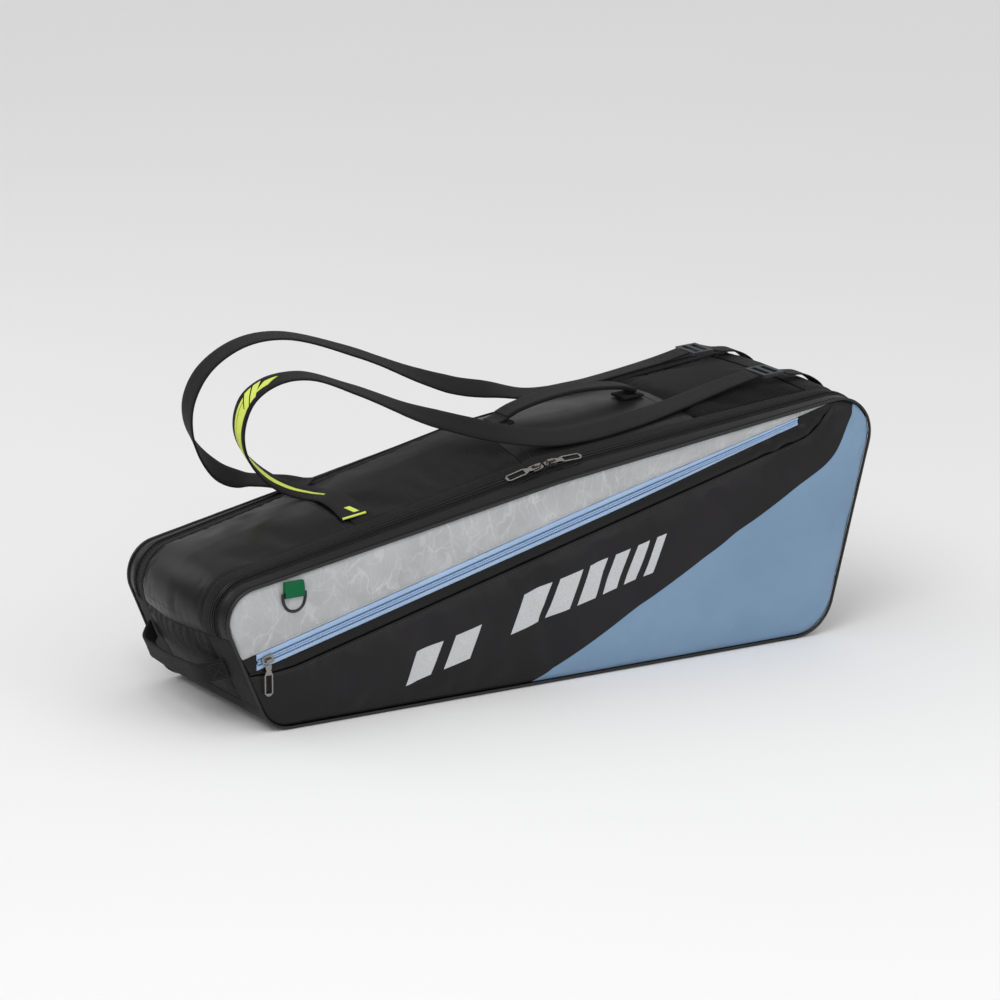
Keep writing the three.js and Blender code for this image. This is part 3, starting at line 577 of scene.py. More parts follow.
def relaxed(grid, outward, growth, pressure, cap):
    """A cloth simulation of the panel: its border is sewn down, and it is cut a little larger than its frame."""
    rows, cols = grid.shape[:2]
    faces = grid_faces(rows, cols)
    if np.sum(normals_of(grid) * outward) < 0:
        faces = faces[:, ::-1]
    obj = new_mesh("cloth", grid.reshape(-1, 3), faces, "nylon")
    held = np.ones((rows, cols), bool)
    held[1:-1, 1:-1] = False
    group = obj.vertex_groups.new(name="held")
    group.add(np.flatnonzero(held.ravel()).tolist(), 1.0, "REPLACE")
    cloth = obj.modifiers.new("Cloth", "CLOTH")
    settings = {
        "vertex_group_mass": "held", "quality": 5, "mass": 0.3, "shrink_min": -growth, "use_pressure": True,
        "tension_stiffness": 25, "compression_stiffness": 25, "bending_stiffness": 2.0,
        "uniform_pressure_force": pressure,
    }
    for key, value in settings.items():
        setattr(cloth.settings, key, value)
    cloth.settings.effector_weights.gravity = 0
    cloth.collision_settings.use_collision = False
    scene = bpy.context.scene
    for step in range(1, 21):
        scene.frame_set(step)
    shape = obj.evaluated_get(bpy.context.evaluated_depsgraph_get()).to_mesh()
    points = np.empty(rows * cols * 3)
    shape.vertices.foreach_get("co", points)
    moved = points.reshape(rows, cols, 3) * 1000 - SHIFT - grid
    scene.frame_set(1)
    bpy.data.objects.remove(obj)
    out = np.sum(moved * outward, -1)
    return grid + outward * (cap * np.tanh(np.abs(out) / cap) * np.sign(out))[..., None]


# ---- panels that follow the outline ----
def steps_between(a, b, step):
    return np.linspace(a, b, max(3, int(round(abs(b - a) / step)) + 1))


def across_ring(s, edge, count):
    """Distances round the outline and depths of a grid that crosses the bag, ending at an edge inside each face."""
    ss, tt = np.meshgrid(s, np.linspace(-1, 1, count), indexing="ij")
    return ss, (half_at(ss) - edge) * tt


def along_band(side, s, v):
    """Distances round the outline, depths and distances from the face edge of a grid that follows a zip band."""
    ss, vv = np.meshgrid(s, v, indexing="ij")
    return ss, side * (half_at(ss) - vv), vv


def ring_sheet(name, ss, y, material, uv, lift=0.0, skin=SKIN, fold=None, **seam):
    """A closed sheet on the bag's ring: seam says how its border is sewn down, and fold how its cloth swells."""
    _, _, nx, nz = station(ss)
    outward = np.stack([nx, 0 * nx, nz], -1)
    level = bulge(ss, y) + lift
    outer = on_ring(ss, y, level)
    if seam:
        outer = sewn(outer, outward, **seam)
    if fold:
        outer = relaxed(outer, outward, *fold)
    return slab(name, outer, on_ring(ss, y, level - skin), material, np.stack(uv, -1)), outer


def band_strip(name, side, s, v, lift, material, **seam):
    """One strip of a zip band, between two distances from the face edge."""
    ss, y, vv = along_band(side, s, v)
    return ring_sheet(name, ss, y, material, (ss - s[0], vv), lift, SKIN + lift, seed=v[0], **seam)[0]


def band_line(side, v):
    """The path of a row of stitches along a zip band."""
    s = steps_between(S_HEAD, S_NOSE, 5)
    return on_ring(s, side * (half_at(s) - v), crown(s, v) + 0.25)


def coil_row(side, v):
    """Half of a zip's teeth: a ridge whose height and width pulse once a tooth, every 2.3 mm."""
    s = np.arange(S_HEAD + 1, S_NOSE - 1, 1.15)
    radii = np.where(np.arange(len(s)) % 2 == 0, 1.05, 0.651)
    return tube(on_ring(s, side * (half_at(s) - v), crown(s, v) + 1.0), radii, 6, flat=0.8)


def zip_bands():
    strips = [
        ("flap_gusset", "flap", BAND_EDGE, BAND_OUTER, 0.0, "pocket", 6),
        ("zip_flap_side", "flap", BAND_OUTER + 0.2, BAND_TEETH - 0.25, 0.5, "zip_tape", 3),
        ("zip_bag_side", "bag", BAND_TEETH + 0.25, BAND_INNER - 0.2, 0.5, "zip_tape", 3),
        ("bag_gusset", "bag", BAND_INNER + 0.2, BAND_SEAM, 0.0, "nylon", 6),
    ]
    for name, side in SIDES.items():
        bodies = {"flap": f"{name}_flap", "bag": "bag"}
        for part, half, v0, v1, lift, material, across in strips:
            node = f"{name}_{part}"
            s, v = steps_between(S_HEAD, S_NOSE, 7), np.linspace(v0, v1, across)
            obj = band_strip(node + ".sewn", side, s, v, lift, material, dip=0.8, pucker=0.2, sway=0.25)
            settle(obj, bodies[half], "nylon", node)
        for half, v in (("flap", BAND_TEETH - 1.35), ("bag", BAND_TEETH + 1.35)):
            settle(new_mesh(f"{name}_coil_{half}", *coil_row(side, v), "zip_coil"), bodies[half], "nylon")
        for half, rows in (("flap", (5.2, BAND_OUTER - 1.6)), ("bag", (BAND_INNER + 1.8, BAND_SEAM - 2))):
            lines = [band_line(side, v) for v in rows]
            stitches(f"{name}_band_thread_{bodies[half]}", lines, bodies[half], "nylon")
        for end, s0, s1 in (("head", S_FOOT, S_HEAD - 0.6), ("grip", S_NOSE + 0.6, ROUND - 0.3)):
            node = f"{name}_gusset_foot_{end}"
            s, v = steps_between(s0, s1, 4), np.linspace(BAND_EDGE, BAND_SEAM, 14)
            obj = band_strip(node + ".sewn", side, s, v, 0, "nylon", dip=0.8, pucker=0.4, sway=0.8)
            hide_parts(node)
            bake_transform(obj)


def middle_panels():
    head_seam, patch_end, patch_start, cross = S_TOP_SEAMS
    taut, slack, crinkled = (0.008, 0.5, 3.0), (0.014, 0.6, 4.0), (0.035, 0.4, 4.5)
    panels = [
        ("head_end_panel", S_FOOT, head_seam, "nylon", "nylon", slack, {}),
        ("back_pad", head_seam, patch_end, "mesh", "mesh", slack, {"dip": 3.0}),
        ("handle_patch", patch_end, patch_start, "pu", "pu_patch", None, {"sway": 0.3}),
        ("top_panel_ripstop", patch_start, cross, "nylon", "ripstop", slack, {}),
        ("top_panel_grip", cross, S_NOSE, "pu", "pu", taut, {}),
        # the grip end panel's nylon is painted darker than the rest, as painted shade of that end
        ("grip_end_panel", S_NOSE, ROUND, "nylon", "crinkle_and_shade", crinkled, {"pucker": 0.8}),
    ]
    for node, s0, s1, slot, material, fold, seam in panels:
        step = 3.5 if node == "grip_end_panel" else 6
        s = steps_between(s0 + 0.4, s1 - 0.4, step)
        widest = half_depth(station(s)[0].max())
        ss, y = across_ring(s, BAND_SEAM + 0.4, int(2 * widest / step) | 1)
        obj, outer = ring_sheet(node + ".sewn", ss, y, material, (ss - s0, y), fold=fold, seed=s0 / 50, **seam)
        settle(obj, "bag", slot, node)
        if node in ("handle_patch", "top_panel_grip", "grip_end_panel"):
            stitches(node + ".thread", [outer[row] + np.array([0, 0, 0.2]) for row in (2, -3)], "bag", slot)


def base_panels():
    seam = {"dip": 0.8, "pucker": 0.3, "sway": 0.4}
    pieces = [
        ("grip_end_base", 0, S_CORNER - 0.3, 0.0, {**seam, "seed": 0}),
        ("base_panel", S_CORNER + 0.3, S_BASE_END - 0.3, BASE_DROP, {}),
        ("head_end_base", S_BASE_END + 0.3, S_FOOT - 0.6, 0.0, {**seam, "seed": S_BASE_END + 0.3}),
    ]
    for node, s0, s1, drop, sewing in pieces:
        ss, y = across_ring(steps_between(s0, s1, 5), BAND_EDGE, 41)
        settle(ring_sheet(node + ".sewn", ss, y, "base", (ss, y), drop, **sewing)[0], "bag", "pu", node)


def seam_tapes():
    """Binding tape on the inside of the seams between the bag's own panels."""
    parts = []
    for places, edge in (((*S_TOP_SEAMS, S_FOOT, S_NOSE), BAND_SEAM), ((0, S_CORNER, S_BASE_END), 12)):
        parts += [across_ring(np.linspace(s - 6, s + 6, 5) % ROUND, edge, 41) for s in places]
    for side in SIDES.values():
        v = np.linspace(BAND_SEAM - 5, BAND_SEAM + 6, 3)
        parts.append(along_band(side, steps_between(S_FOOT, ROUND, 8), v)[:2])
    sheets = []
    for ss, y in parts:
        level = bulge(ss, y) - SKIN
        sheets.append(closed_sheet(on_ring(ss, y, level - 0.1), on_ring(ss, y, level - 0.8)))
    obj = new_mesh("seam_tapes", *merged(sheets), "nylon")
    turn_outward(obj)
    settle(obj, "bag", "nylon")


# ---- flat faces ----
def chain(inset):
    """Lower and upper outline heights as functions of x, for an outline moved inwards."""
    x, z, nx, nz = FINE
    px, pz = x - nx * inset, z - nz * inset
    turn = np.argmin(px), np.argmax(px)
    after_high = np.arange(turn[1], turn[0])
    below = np.concatenate([np.arange(turn[0], len(px)), np.arange(0, turn[1])])
    upper = after_high[np.argsort(px[after_high])]
    lower = below[np.argsort(px[below])]
    return (px.min(), px.max(), lambda q: np.interp(q, px[lower], pz[lower]),
            lambda q: np.interp(q, px[upper], pz[upper]))


FACE_X0, FACE_X1, FACE_LOW, FACE_HIGH = chain(FACE_INSET)


def zip_line(x):
    return POCKET_Z0 + POCKET_SLOPE * (x - POCKET_X[0])


def tape_half(x):
    """Half of the pocket tape that shows: the pocket's edge narrows it towards the head end."""
    return TAPE_HALF - 4.4 * smooth((x - 420) / 250)


def shade_line(x):
    """Where a face's dark upper part meets its blue lower part."""
    return SHADE_SLOPE * (x - SHADE_X0) + 37 * np.clip((x - 690) / 48, 0, 2) ** 3


def binding_line(x):
    """The seam under the pocket's rolled edge."""
    lift = 12 * np.clip((80 - x) / 64, 0, 1.3) ** 1.6 + 30 * np.clip((x - 676) / 42, 0, 3) ** 2.2
    return zip_line(x) - BINDING + lift


def moved(line, by):
    return lambda x: line(x) + by


def highest(*lines):
    return lambda x: np.max([line(x) for line in lines], 0)


def lowest(*lines):
    return lambda x: np.min([line(x) for line in lines], 0)


def tape_edge(way, gap=0.0):
    """The upper or lower edge of the pocket tape that shows, moved up by a gap."""
    return lambda x: zip_line(x) + way * tape_half(x) + gap


def on_face(side, x, z, above=0.0):
    """Points on a face's plane, or above it."""
    return np.stack([x, side * (half_depth(x) - FACE_SINK + above), z], -1)


class Field:
    """A zone of a face with its own relief, which every panel and print in that zone follows."""

    def __init__(self, side, low, high, puff, seed, steep=1.0, pressed=()):
        self.side, self.low, self.high = side, low, high
        xs = np.linspace(FACE_X0, FACE_X1, 900)
        inside = xs[high(xs) - low(xs) > 2.5]
        ends = 0.5 - 0.5 * np.cos(np.linspace(0.05, math.pi - 0.05, 150))
        ends = (ends - ends[0]) / (ends[-1] - ends[0])
        self.xs = inside[0] + (inside[-1] - inside[0]) * (0.6 * np.linspace(0, 1, 150) + 0.4 * ends)
        self.rows = 30
        xx, tt = np.meshgrid(self.xs, np.linspace(0, 1, self.rows), indexing="ij")
        zz = low(xx) + (high(xx) - low(xx)) * tt
        grid = on_face(side, xx, zz)
        outward = np.broadcast_to(side * ACROSS_BAG, grid.shape)
        run = edge_distance(grid)[1]
        near = np.minimum(np.minimum(run, run[-1:] - run), np.minimum(zz - low(xx), steep * (high(xx) - zz)))
        swollen = grid + outward * (puff * (1 - np.exp(-near / 15)))[..., None]
        swollen = sewn(swollen, outward, dip=0.9, pucker=0.3, sway=0.8, seed=seed)
        settled = relaxed(swollen, outward, growth=0.006, pressure=0.4, cap=4.0)
        dents = sum(np.exp(-((xx - x) / 26) ** 2 - ((zz - z) / 34) ** 2) for x, z in pressed)
        self.relief = (settled - grid)[..., 1] * side * (1 - 0.72 * dents)

    def height(self, x, z):
        """The relief at any point, between the four nearest points of its grid."""
        low, high = self.low(x), self.high(x)
        t = np.clip((z - low) / np.maximum(high - low, 1e-6), 0, 1) * (self.rows - 1)
        i = np.clip(np.interp(x, self.xs, np.arange(len(self.xs))), 0, len(self.xs) - 1.001)
        t = np.clip(t, 0, self.rows - 1.001)
        i0, j0 = i.astype(int), t.astype(int)
        fi, fj = i - i0, t - j0
        near, far = (self.relief[k, j0] * (1 - fj) + self.relief[k, j0 + 1] * fj for k in (i0, i0 + 1))
        return near * (1 - fi) + far * fi

    def point(self, x, z, above):
        return on_face(self.side, x, z, self.height(x, z) + above)


def face_grid(low, high, step=(4, 4), x0=None, x1=None):
    xs = np.linspace(FACE_X0, FACE_X1, 1500)
    inside = xs[high(xs) - low(xs) > 0.4]
    a = inside[0] if x0 is None else x0
    b = inside[-1] if x1 is None else x1
    count = int((b - a) / step[0])
    even = np.linspace(0, 1, count)
    eased = 0.5 - 0.5 * np.cos(np.pi * even)
    columns = a + (b - a) * (0.7 * even + 0.3 * eased)
    tallest = (high(columns) - low(columns)).max()
    t = np.linspace(0, 1, max(4, int(tallest / step[1])))
    xx, tt = np.meshgrid(columns, t, indexing="ij")
    return xx, low(xx) + np.maximum(high(xx) - low(xx), 0.05) * tt


def face_panel(node, side, height, low, high, slot, material, rim=0.5, x0=None, x1=None):
    """A panel of a face, at a height over its plane, with its cut edges turned in a little."""
    xx, zz = face_grid(low, high, x0=x0, x1=x1)
    edge = edge_distance(on_face(side, xx, zz))[0]
    outer = on_face(side, xx, zz, height(xx, zz) - rim * np.exp(-edge / 1.2))
    obj = slab(node + ".sewn", outer, on_face(side, xx, zz, PANEL_BACK), material, np.stack([xx, zz], -1))
    settle(obj, FLAPS[side], slot, node)


def two_shades(name, field):
    """A face's dark upper part and blue lower part."""
    for shade, low, high in (("dark", highest(FACE_LOW, shade_line), field.high),
                             ("blue", FACE_LOW, lowest(field.high, moved(shade_line, -0.3)))):
        finish = f"face_{shade}"
        face_panel(f"{name}_panel_{shade}", field.side, field.height, low, high, finish, finish, rim=0.1)


def binding_height(x, z):
    """The pocket's rolled edge: a bead beside the zip, slack folds at its head end and a groove along its seam."""
    up = z - zip_line(x)
    bead = 1.5 * np.cos(np.clip((up + 15) / 8, -1.4, 1.4))
    folds = 1.5 * smooth((x - 560) / 90) * np.sin(x / 5.2 + z / 6) * np.sin(up / 5.5 + x / 21)
    return bead + folds - 2.6 * np.exp(-((z - binding_line(x)) / 2.6) ** 2)


def crumpled(x, z):
    """Loose cloth past the zip's head end."""
    return 1.0 + 0.8 * np.sin(x / 4.6 + 1.6 * np.sin(z / 7)) * np.sin((z - zip_line(x)) / 3.4 + x / 9)


def front_face():
    lower = Field(FRONT, FACE_LOW, lowest(FACE_HIGH, binding_line), 5.2, 3.0, steep=2.2, pressed=PULL_PLACES)
    upper = Field(FRONT, highest(FACE_LOW, tape_edge(1)), FACE_HIGH, 2.0, 5.0)
    face_panel("pocket_panel", FRONT, upper.height, upper.low, FACE_HIGH, "pocket_grey", "grey")
    two_shades("front", lower)
    tape_low, tape_high = highest(FACE_LOW, tape_edge(-1, 0.3)), lowest(FACE_HIGH, tape_edge(1, -0.3))
    seam, binding_high = moved(binding_line, 0.3), lowest(FACE_HIGH, tape_edge(-1, -0.1))
    face_panel("pocket_binding", FRONT, binding_height, highest(FACE_LOW, seam), binding_high, "nylon", "pocket")
    a, b = POCKET_X[0] - 3, POCKET_X[1] + 4
    face_panel("pocket_zip_end_grip", FRONT, lambda x, z: 0.8, tape_low, tape_high, "nylon", "pocket", x1=a - 0.4)
    head_low = highest(tape_low, seam)
    face_panel("pocket_zip_end_head", FRONT, crumpled, head_low, tape_high, "nylon", "pocket", x0=b + 0.4)
    for part, low, high in (("lower", tape_low, moved(zip_line, -2.0)), ("upper", moved(zip_line, 2.0), tape_high)):
        face_panel(f"pocket_zip_tape_{part}", FRONT, lambda x, z: 0.1, low, high, "zip_blue", "tape", x0=a, x1=b)
    x = np.arange(a + 1, b - 1, 1.15)
    wide = np.where(np.arange(len(x)) % 2 == 0, 1.15, 0.7)
    teeth = [tube(on_face(FRONT, x, zip_line(x) + up, 0.2), wide, 6) for up in (-1.05, 1.05)]
    settle(new_mesh("pocket_zip_coil.teeth", *merged(teeth), "coil"), "front_flap", "zip_blue", "pocket_zip_coil")
    spread = 3.1 * tape_half(x) / TAPE_HALF
    cords = [tube(on_face(FRONT, x, zip_line(x) + way * spread, 0.25), 0.42, 5) for way in (-1, 1)]
    settle(new_mesh("pocket_tape_cord", *merged(cords), "blue_thread"), "front_flap", "zip_blue")
    x = np.linspace(30, 690, 260)
    stitches("pocket_thread", [lower.point(x, binding_line(x) - 2.6, 0.25)], "front_flap", "face_dark")
    x = np.linspace(24, 676, 260)
    thread = tube(upper.point(x, zip_line(x) + tape_half(x) + 2.4, 0.25), 0.28, 5)
    settle(new_mesh("pocket_thread_grey", *thread, "silver"), "front_flap", "pocket_grey")
    padding("front_padding", FRONT)
    motif(lower)


def quilted(node, body, xx, zz, sides):
    """Lining quilted in diamonds; each side's y is a plane and how far the quilting swells from it."""
    quilt = np.sqrt(np.abs(np.sin((xx + zz) * np.pi / 70) * np.sin((xx - zz) * np.pi / 70)))
    outer, inner = (np.stack([xx, plane + swell * quilt, zz], -1) for plane, swell in sides)
    obj = slab(node + ".quilt", outer, inner, "lining", np.stack([xx, zz], -1))
    settle(obj, body, "lining", node)


def padding(node, side):
    xx, zz = face_grid(FACE_LOW, FACE_HIGH, (6, 6))
    sides = [(side * (half_depth(xx) - 3.6), 0), (side * (half_depth(xx) - 7.5), -1.6 * side)]
    quilted(node, FLAPS[side], xx, zz, sides)


def rear_face():
    two_shades("rear", Field(REAR, FACE_LOW, FACE_HIGH, 6.0, 8.0))
    padding("rear_padding", REAR)


def motif(field):
    """A plain speed motif: two slanted blocks, and a row of slanted bars that get narrower."""
    parts = []

    def block(x0, z0, wide, tall):
        counts = (max(4, int(size / 3)) for size in (wide, tall))
        s, t = np.meshgrid(*(np.linspace(0, 1, count) for count in counts), indexing="ij")
        x, z = x0 + wide * s + 0.42 * tall * t, z0 + tall * t + 0.24 * wide * s
        parts.append(closed_sheet(field.point(x, z, 0.18), field.point(x, z, -0.3)))

    block(196, 24, 30, 34)
    block(240, 35, 30, 34)
    x, z, wide = 318, 60, 34
    for _ in range(6):
        block(x, z, wide, 40)
        x += wide + 9
        z += 0.24 * (wide + 9)
        wide *= 0.8
    obj = new_mesh("speed_motif", *merged(parts), "silver")
    turn_outward(obj)
    settle(obj, "front_flap", "face_dark")


def pipings():
    for name, side in SIDES.items():
        s = np.linspace(0, ROUND, 420, endpoint=False)
        x, z, _, _ = station(s)
        path = np.stack([x, side * half_depth(x), z], -1)
        lumps = PIPING_R * (1 + 0.03 * np.sin(s / 6.5 + 2 * np.sin(s / 37)))
        obj = new_mesh(f"{name}_piping.cord", *tube(path, lumps, 10, closed=True), "piping")
        settle(obj, f"{name}_flap", "piping", f"{name}_piping")


def divider():
    xx, zz = face_grid(moved(FACE_LOW, 1), moved(FACE_HIGH, -1), (8, 8))
    quilted("compartment_divider", "bag", xx, zz, [(side * 1.0, side * 1.2) for side in (FRONT, REAR)])


# ---- webbing ----
def between(a, b, at_a, at_b, u):
    return a * ((at_b - u) / (at_b - at_a)) + b * ((u - at_a) / (at_b - at_a))


def smooth_route(route, count):
    """A centripetal curve through given points, at even distances."""
    p = np.asarray(route, float)
    p = np.concatenate([[2 * p[0] - p[1]], p, [2 * p[-1] - p[-2]]])
    out = []
    for i in range(1, len(p) - 2):
        quad = p[i - 1:i + 3]
        knots = np.concatenate([[0], np.cumsum(np.linalg.norm(np.diff(quad, axis=0), axis=1) ** 0.5)])
        for u in np.linspace(knots[1], knots[2], 24, endpoint=False):
            first = [between(quad[k], quad[k + 1], knots[k], knots[k + 1], u) for k in range(3)]
            second = [between(first[k], first[k + 1], knots[k], knots[k + 2], u) for k in range(2)]
            out.append(between(*second, knots[1], knots[2], u))
    out = np.array([*out, p[-2]])
    run = runs(out)
    even = np.linspace(0, run[-1], count)
    return sample(even, run, out), even


class Ribbon:
    """Flat webbing along a path: its middle line, width direction and face normal at each point."""

    def __init__(self, route, width, thick, count, across=ACROSS_BAG):
        self.path, self.run = smooth_route(route, count)
        along = np.gradient(self.path, axis=0)
        along /= np.linalg.norm(along, axis=1)[:, None]
        wide = across(np.linspace(0, 1, count)) if callable(across) else np.broadcast_to(across, (count, 3))
        wide = wide - along * np.sum(wide * along, 1)[:, None]
        self.wide = wide / np.linalg.norm(wide, axis=1)[:, None]
        self.up = np.cross(along, self.wide)
        self.width, self.thick = width, thick

    def at(self, u, v, above):
        """Points at run u and distance v across, at a height above the webbing's middle."""
        path, wide, up = (sample(u, self.run, rows) for rows in (self.path, self.wide, self.up))
        return path + wide * np.asarray(v)[..., None] + up * np.asarray(above)[..., None]

    def solid(self, name, material):
        edge = np.array([(-1, 0), (-0.985, 0.7), (-0.93, 1), (-0.5, 0.94), (0, 0.9)])
        top = np.concatenate([edge, edge[3:0:-1] * (-1, 1)])
        ring = np.concatenate([top, -top]) * (self.width / 2, self.thick / 2)
        count, sides = len(self.run), len(ring)
        points = self.path[:, None] + self.wide[:, None] * ring[:, 0, None] + self.up[:, None] * ring[:, 1, None]
        caps = [[k * count for k in range(sides)], [k * count + count - 1 for k in range(sides)][::-1]]
        faces = [list(f) for f in grid_faces(sides, count, wrap=True)] + caps
        uv = np.stack(np.broadcast_arrays(self.run[None, :], ring[:, 0, None]), -1).reshape(-1, 2)
        obj = new_mesh(name, points.transpose(1, 0, 2).reshape(-1, 3), faces, material, uv, sharp=80)
        turn_outward(obj)
        return obj

    def web(self, node, body, material="webbing"):
        settle(self.solid(node + ".web", material), body, "webbing", node)

    def print_on(self, u, v, face):
        """A thin print over a grid of runs u and distances across v, on one face."""
        outer, inner = (self.at(u, v, face * (self.thick / 2 + above) + 0 * u) for above in (0.35, -0.5))
        return closed_sheet(outer, inner)

    def box_stitch(self, u0, u1, face=1):
        """The lines of a box of stitches, with its two diagonals, on one face."""
        v = self.width / 2 - 2.6
        sides = [(u0, u1, -v, -v), (u1, u1, -v, v), (u1, u0, v, v), (u0, u0, v, -v)]
        diagonals = [(u0, u1, -v, v), (u0, u1, v, -v)]
        level = np.full(12, face * (self.thick / 2 + 0.1))
        return [self.at(np.linspace(*leg[:2], 12), np.linspace(*leg[2:], 12), level) for leg in sides + diagonals]


def over(x, y, above, lean):
    return [x, y, top_point(x, y, above)[2], lean]


FRONT_STRAP = [
    over(172, -58, 3.4, 0), over(174, -34, 3.6, 0), over(173, -6, 3.6, 0), over(167, 20, 4, 0), [153, 41, 201, 5],
    [134, 54, 213, 8], [112, 60, 240, 5], [104, 57, 269, 3], [111, 50, 299, 8], [133, 43, 316, 14],
    [168, 34, 320, 20], [216, 14, 303, 30], [268, -18, 279, 34], [306, -38, 266, 34], [348, -56, 254, 28],
    over(396, -64, 9, 20), over(446, -66, 3.6, 17), over(500, -64, 3.4, 15), over(555, -56, 3.6, 10),
    over(606, -49, 7, 8), over(640, -47, 11, 5), over(670, -46, 14, 3),
]
REAR_STRAP = [
    over(192, 64, 3.4, 0), [182, 77, 193.5, 0], [168, 94, 194, 0], [155, 110, 193.5, 0], [140, 121, 194, 0],
    [119, 126, 203, 0], [95, 126, 229, 0], [82, 124, 258, 2], [82, 122, 287, 5], [99, 120, 317, 9],
    [138, 119, 339, 14], [188, 118, 342, 17], [275, 118, 313, 26], [352, 112, 278, 34], [394, 102, 263, 28],
    [432, 92, 256, 14], over(472, 84, 12, 0), over(528, 79, 9, -6), over(590, 79, 10, -6), over(636, 80, 12, -4),
    over(666, 80, 15, -3),
]
STRAPS = {"front": FRONT_STRAP, "rear": REAR_STRAP}
FIRST_ACROSS = np.array([1, 0.05, 0.2])  # a strap leaves its seam lying along the bag, then turns across it
STRAP_WIDTH = 28


def strap_ribbon(route):
    leans = np.radians([entry[3] for entry in route])

    def across(t):
        lean = np.interp(t * (len(route) - 1), np.arange(len(route)), leans)
        rearward = np.stack([0 * t, np.cos(lean), np.sin(lean)], -1)
        mix = smooth(t / 0.28)[:, None]
        return FIRST_ACROSS * (1 - mix) + rearward * mix

    return Ribbon([entry[:3] for entry in route], STRAP_WIDTH, 2.4, 260, across)


def shoulder_straps():
    for name, route in STRAPS.items():
        ribbon = strap_ribbon(route)
        node = f"shoulder_strap_{name}"
        ribbon.web(node, "bag")
        total = ribbon.run[-1]
        lines = ribbon.box_stitch(4, 26) + ribbon.box_stitch(total - 34, total - 8)
        stitches(node + ".thread", lines, "bag", "webbing")
        if name == "front":
            neon_print(ribbon)


NEON_RUN = (60, 222)  # the stripe's start and end along the front strap
NEON_BARS = ((224.5, 9), (236, 9), (247.5, 15))  # start and length of each slanted bar above it
NEON_LEAN = 7.0


def neon_half(u):
    """Half of the neon stripe's width along the strap."""
    return 1.4 + 7.6 * smooth((u - NEON_RUN[0]) / (NEON_RUN[1] - NEON_RUN[0]))


def unit_grid(rows, cols, low=-1):
    return np.meshgrid(np.linspace(0, 1, rows), np.linspace(low, 1, cols), indexing="ij")


def neon_print(ribbon):
    """The bright print on the front strap: a split stripe that widens from the seam and ends in slanted bars."""
    parts = []
    for face in (1, -1):
        u, t = unit_grid(90, 9, 0)
        u = NEON_RUN[0] + (NEON_RUN[1] - NEON_RUN[0]) * u
        half = neon_half(u)
        for low, high in ((-1.0, 0.3), (0.42, 0.8)):
            across = low + (high - low) * t
            parts.append(ribbon.print_on(u + NEON_LEAN * across * (u > NEON_RUN[1] - 1), half * across, face))
        for start, length in NEON_BARS:
            along, t = unit_grid(7, 7)
            taper = 1 - 0.45 * max(0, start - NEON_BARS[1][0]) / 11
            parts.append(ribbon.print_on(start + length * along + NEON_LEAN * t, 8.8 * taper * t, face))
        along, t = unit_grid(5, 5)
        parts.append(ribbon.print_on(5 + 13 * along, 3 * t + 5 - 5 * along, face))
    parts.append(tube(ribbon.at(np.full(9, -0.6), np.linspace(-13, 13, 9), np.full(9, -0.2)), 1.3, 8))
    obj = new_mesh("neon_print", *merged(parts), "neon")
    turn_outward(obj)
    settle(obj, "bag", "webbing")


CARRY_X = (385, 545)
CARRY_WIDTH = 26


HANDLE_RISE = 9  # the carry handle's ends stand this far above the bag


def carry_handle():
    low, high = (top_point(x, 0) for x in CARRY_X)
    t = np.linspace(0, 1, 13)
    arch = low[2] + (high[2] - low[2]) * t + HANDLE_RISE + 12 * np.sin(np.pi * t) ** 0.7
    ribbon = Ribbon(np.stack([CARRY_X[0] + (CARRY_X[1] - CARRY_X[0]) * t, 0 * t, arch], -1), CARRY_WIDTH, 4, 90)
    ribbon.web("carry_handle", "carry_handle")
    u = np.linspace(6, ribbon.run[-1] - 6, 80)
    lines = [ribbon.at(u, np.full(80, v), np.full(80, 2.1)) for v in (-9.5, 9.5)]
    stitches("carry_handle.thread", lines, "carry_handle", "webbing")
    for end, x, side in (("grip", CARRY_X[0], -1), ("head", CARRY_X[1], 1)):
        start, stop = (top_point(x + dx, 0, 2.0) for dx in (-12, 12))
        foot = Ribbon([start, (start + stop) / 2, stop], CARRY_WIDTH, 3, 12)
        node = f"carry_handle_foot_{end}"
        foot.web(node, "bag")
        stitches(node + ".thread", foot.box_stitch(2.5, 21.5), "bag", "webbing", pitch=3.2)
        riser(end, x, side)


def riser(end, x, side):
    """The webbing that turns up from a sewn foot into the handle, bending between the two."""
    base = top_point(x, 0, 3.6)
    top = top_point(x, 0) * (0, 0, 1) + (x, 0, HANDLE_RISE)
    route = [base + (side * 9, 0, 0), base + (side * 3, 0, 1.2), top + (-side * 1.5, 0, -0.6)]
    obj = Ribbon(route, CARRY_WIDTH - 1, 2.4, 14).solid(f"carry_handle_riser_{end}", "webbing")
    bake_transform(obj)


END_HANDLE_HALF = 78


def end_handle():
    s = where("z", 66, "nose")
    _, _, nx, nz = station(s)
    t = np.linspace(-1, 1, 17)
    bow = 0.8 + 20 * np.clip((1 - np.abs(t)) / 0.3, 0, 1) ** 0.8
    reach = np.full(17, s)
    route = on_ring(reach, t * END_HANDLE_HALF, bulge(reach, t * END_HANDLE_HALF) + 1.5 + bow)
    ribbon = Ribbon(route, 22, 3, 90, np.array([-nz, 0.0, nx]))
    ribbon.web("end_handle", "bag")
    total = ribbon.run[-1]
    face = 1 if ribbon.up[45][0] < 0 else -1
    lines = ribbon.box_stitch(2, 18, face) + ribbon.box_stitch(total - 18, total - 2, face)
    stitches("end_handle.thread", lines, "bag", "webbing", pitch=3.2)


